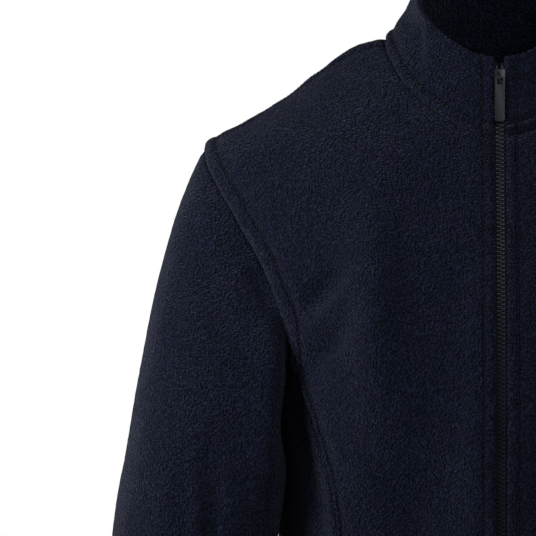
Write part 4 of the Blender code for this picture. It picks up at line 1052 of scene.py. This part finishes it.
# the middle of the zip from the box up to the slider, where the two strips of teeth meet
zip_middle = corner_pairs("zip_teeth_right", lambda p: np.abs(p[:, 0]) < MIDDLE_SLACK).mean(axis=1)
zip_middle[:, 0] = 0.0
zip_middle, marks = evened(zip_middle)
zip_length = marks[-1]
gaps = int(zip_length / TOOTH_PITCH)
half_pitch = zip_length / gaps / 2
row_of_teeth("teeth_right", "zip_teeth_right", (-1, 0, 0), 0.0, zip_length, gaps + 1)
row_of_teeth("teeth_left", "zip_teeth_left", (1, 0, 0), half_pitch, zip_length - half_pitch, gaps)
bpy.data.objects.remove(tooth)

# ---------------------------------------------------------------------------------------------
# Box and stops. The box is moulded on the tapes' lower ends and holds the pin when the jacket is
# closed. A small stop above the teeth on each tape keeps the slider on.

BOX_BEVEL = 0.00045
SMALL_BEVEL = 0.0003  # on the stops, the slider and the tab
SHARP = 0.5  # an edge that turns by more radians than this is rounded
SMOOTH_UP_TO = 32  # degrees; edges that still turn by more show as edges


def cad_shape(name):
    """A merged copy of a node's mesh, with its flat faces whole again."""
    shape = bmesh.new()
    shape.from_mesh(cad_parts[name].data)
    bmesh.ops.remove_doubles(shape, verts=shape.verts, dist=1e-6)
    bmesh.ops.dissolve_limit(shape, angle_limit=0.02, verts=shape.verts, edges=shape.edges)
    return shape


def softened(shape, width, segments):
    """Rounds every sharp edge of a shape a little."""
    bmesh.ops.recalc_face_normals(shape, faces=shape.faces)
    sharp = [e for e in shape.edges if len(e.link_faces) == 2 and e.calc_face_angle(0.0) > SHARP]
    bmesh.ops.bevel(
        shape, geom=sharp, offset=width, segments=segments, profile=0.6, affect="EDGES", clamp_overlap=True
    )


def finished(shape, name, node, body, material):
    """Turns a shape into its piece, on its body, in its node's place."""
    bmesh.ops.recalc_face_normals(shape, faces=shape.faces)
    mesh = bpy.data.meshes.new(name)
    shape.to_mesh(mesh)
    shape.free()
    mesh.materials.append(material)
    mesh.shade_smooth()
    mesh.set_sharp_from_angle(angle=math.radians(SMOOTH_UP_TO))
    made = placed(name, mesh)
    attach(made, body)
    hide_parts(node)


box = cad_shape("zip_box")
softened(box, BOX_BEVEL, 3)
finished(box, "box", "zip_box", "jacket", zip_plastic)
for side in ("right", "left"):
    stop = cad_shape(f"zip_stop_{side}")
    softened(stop, SMALL_BEVEL, 2)
    finished(stop, f"stop_{side}", f"zip_stop_{side}", "jacket", zip_plastic)

# ---------------------------------------------------------------------------------------------
# Slider and pull tab. Cast zinc, enamelled dark and tumbled, so that edges and the face of the
# tab wear a little brighter. The tab hangs from the slider's loop.

ENAMEL = (0.020, 0.022, 0.030)
WORN = (0.075, 0.080, 0.095)
WEAR_SPOTS = 420.0  # a metre
EDGE_WORN = (0.52, 0.60)  # how pointed an edge is where its wear begins, and where it is complete


def enamel_material():
    enamel = Finish("dark_enamel")
    wear = enamel.grain(enamel.place(), WEAR_SPOTS, 4.0)
    edges = enamel.node("NewGeometry").outputs["Pointiness"]
    worn = enamel.maths("MULTIPLY", enamel.ranged(edges, *EDGE_WORN, 0.0, 1.0), wear)
    return enamel.surface(
        Base_Color=enamel.mixed(worn, shade(ENAMEL), shade(WORN)),
        Metallic=0.55,
        Roughness=enamel.ranged(wear, 0.0, 1.0, 0.30, 0.48),
        Normal=enamel.raised(wear, 0.00002),
    )


dark_enamel = enamel_material()
slider = cad_shape("zip_slider")
softened(slider, SMALL_BEVEL, 2)
finished(slider, "slider", "zip_slider", "jacket", dark_enamel)
tab = cad_shape("zip_pull")
softened(tab, SMALL_BEVEL, 3)
finished(tab, "pull_tab", "zip_pull", "pull", dark_enamel)

# ---------------------------------------------------------------------------------------------
# The studio. A pale floor well below the hem, white all round, a soft key light at the far left
# at the height of the shoulder, a weaker one in front and above, and two behind for the edges.

SEEN_WIDTH = 0.3752  # how much of the jacket's front the camera takes in
VIEW_X, VIEW_Z = -0.1617, -0.161
CAMERA_DISTANCE = 5.0
VIEW_DEPTH = -0.070  # where that width is measured, in front of the origin
SENSOR = 36.0
ROOM_LIGHT = 0.05  # how strongly the white all round lights the cloth
FLOOR, FLOOR_REACH = -1.05, 5.0
FLOOR_GLOW = 0.42  # evens out the floor's own shading

LAMP_COLUMNS = ("name", "place", "aim", "size", "power")
LAMPS = (
    ("key", (-0.80, -0.46, -0.01), (-0.15, 0, -0.16), 0.36, 5.6),
    ("front", (0.38, -1.10, 0.50), (-0.18, 0, -0.14), 0.5, 3.8),
    ("back", (1.5, 2.6, 0.1), (0, 0, -0.3), 1.2, 48),
    ("back_left", (-2.2, 2.2, -0.30), (0, 0, -0.3), 1.0, 28),
)
for row in LAMPS:
    lamp = dict(zip(LAMP_COLUMNS, row))
    light = bpy.data.lights.new(lamp["name"], "AREA")
    light.shape = "DISK"
    light.size = lamp["size"]
    light.energy = lamp["power"]
    stand = placed(lamp["name"], light)
    stand.location = lamp["place"]
    aim = Vector(lamp["aim"]) - Vector(lamp["place"])
    stand.rotation_euler = aim.to_track_quat("-Z", "Y").to_euler()


def as_seen(tree, lighting, looks):
    """A shader that lights the room in one way and looks another way to the camera."""
    camera_only = add_node(tree, "ShaderNodeLightPath").outputs["Is Camera Ray"]
    return add_node(tree, "ShaderNodeMixShader", {0: camera_only, 1: lighting, 2: looks}).outputs[0]


world = bpy.data.worlds.new("studio")
bpy.context.scene.world = world
world.use_nodes = True
world.node_tree.nodes.clear()
white = {"Color": (1, 1, 1, 1)}
soft = add_node(world.node_tree, "ShaderNodeBackground", {**white, "Strength": ROOM_LIGHT})
plain = add_node(world.node_tree, "ShaderNodeBackground", {**white, "Strength": 1.0})
room = as_seen(world.node_tree, soft.outputs[0], plain.outputs[0])
add_node(world.node_tree, "ShaderNodeOutputWorld", {"Surface": room})

pale = Finish("pale_floor")
matt = pale.node("BsdfPrincipled", {"Base Color": (0.82, 0.82, 0.82, 1), "Roughness": 0.9})
dark = pale.node("Emission", {"Strength": 0.0})
glow = pale.node("Emission", {"Strength": FLOOR_GLOW})
lift = as_seen(pale.tree, dark.outputs[0], glow.outputs[0])
both = pale.node("AddShader", {0: matt.outputs["BSDF"], 1: lift})
pale.node("OutputMaterial", {"Surface": both.outputs[0]})

floor_mesh = bpy.data.meshes.new("floor")
floor_corners = [(x * FLOOR_REACH, y * FLOOR_REACH, FLOOR) for x, y in ((-1, -1), (1, -1), (1, 1), (-1, 1))]
floor_mesh.from_pydata(floor_corners, [], [(0, 1, 2, 3)])
floor_mesh.materials.append(pale.material)
floor = placed("floor", floor_mesh)

camera_data = bpy.data.cameras.new("camera")
camera_data.sensor_width = SENSOR
camera_data.lens = SENSOR * (CAMERA_DISTANCE + VIEW_DEPTH) / SEEN_WIDTH
camera_data.clip_end = 100.0
camera = placed("camera", camera_data)
camera.location = (VIEW_X, -CAMERA_DISTANCE, VIEW_Z)
camera.rotation_euler = (math.radians(90), 0, 0)
bpy.context.scene.camera = camera
bpy.context.scene.view_settings.view_transform = "Standard"
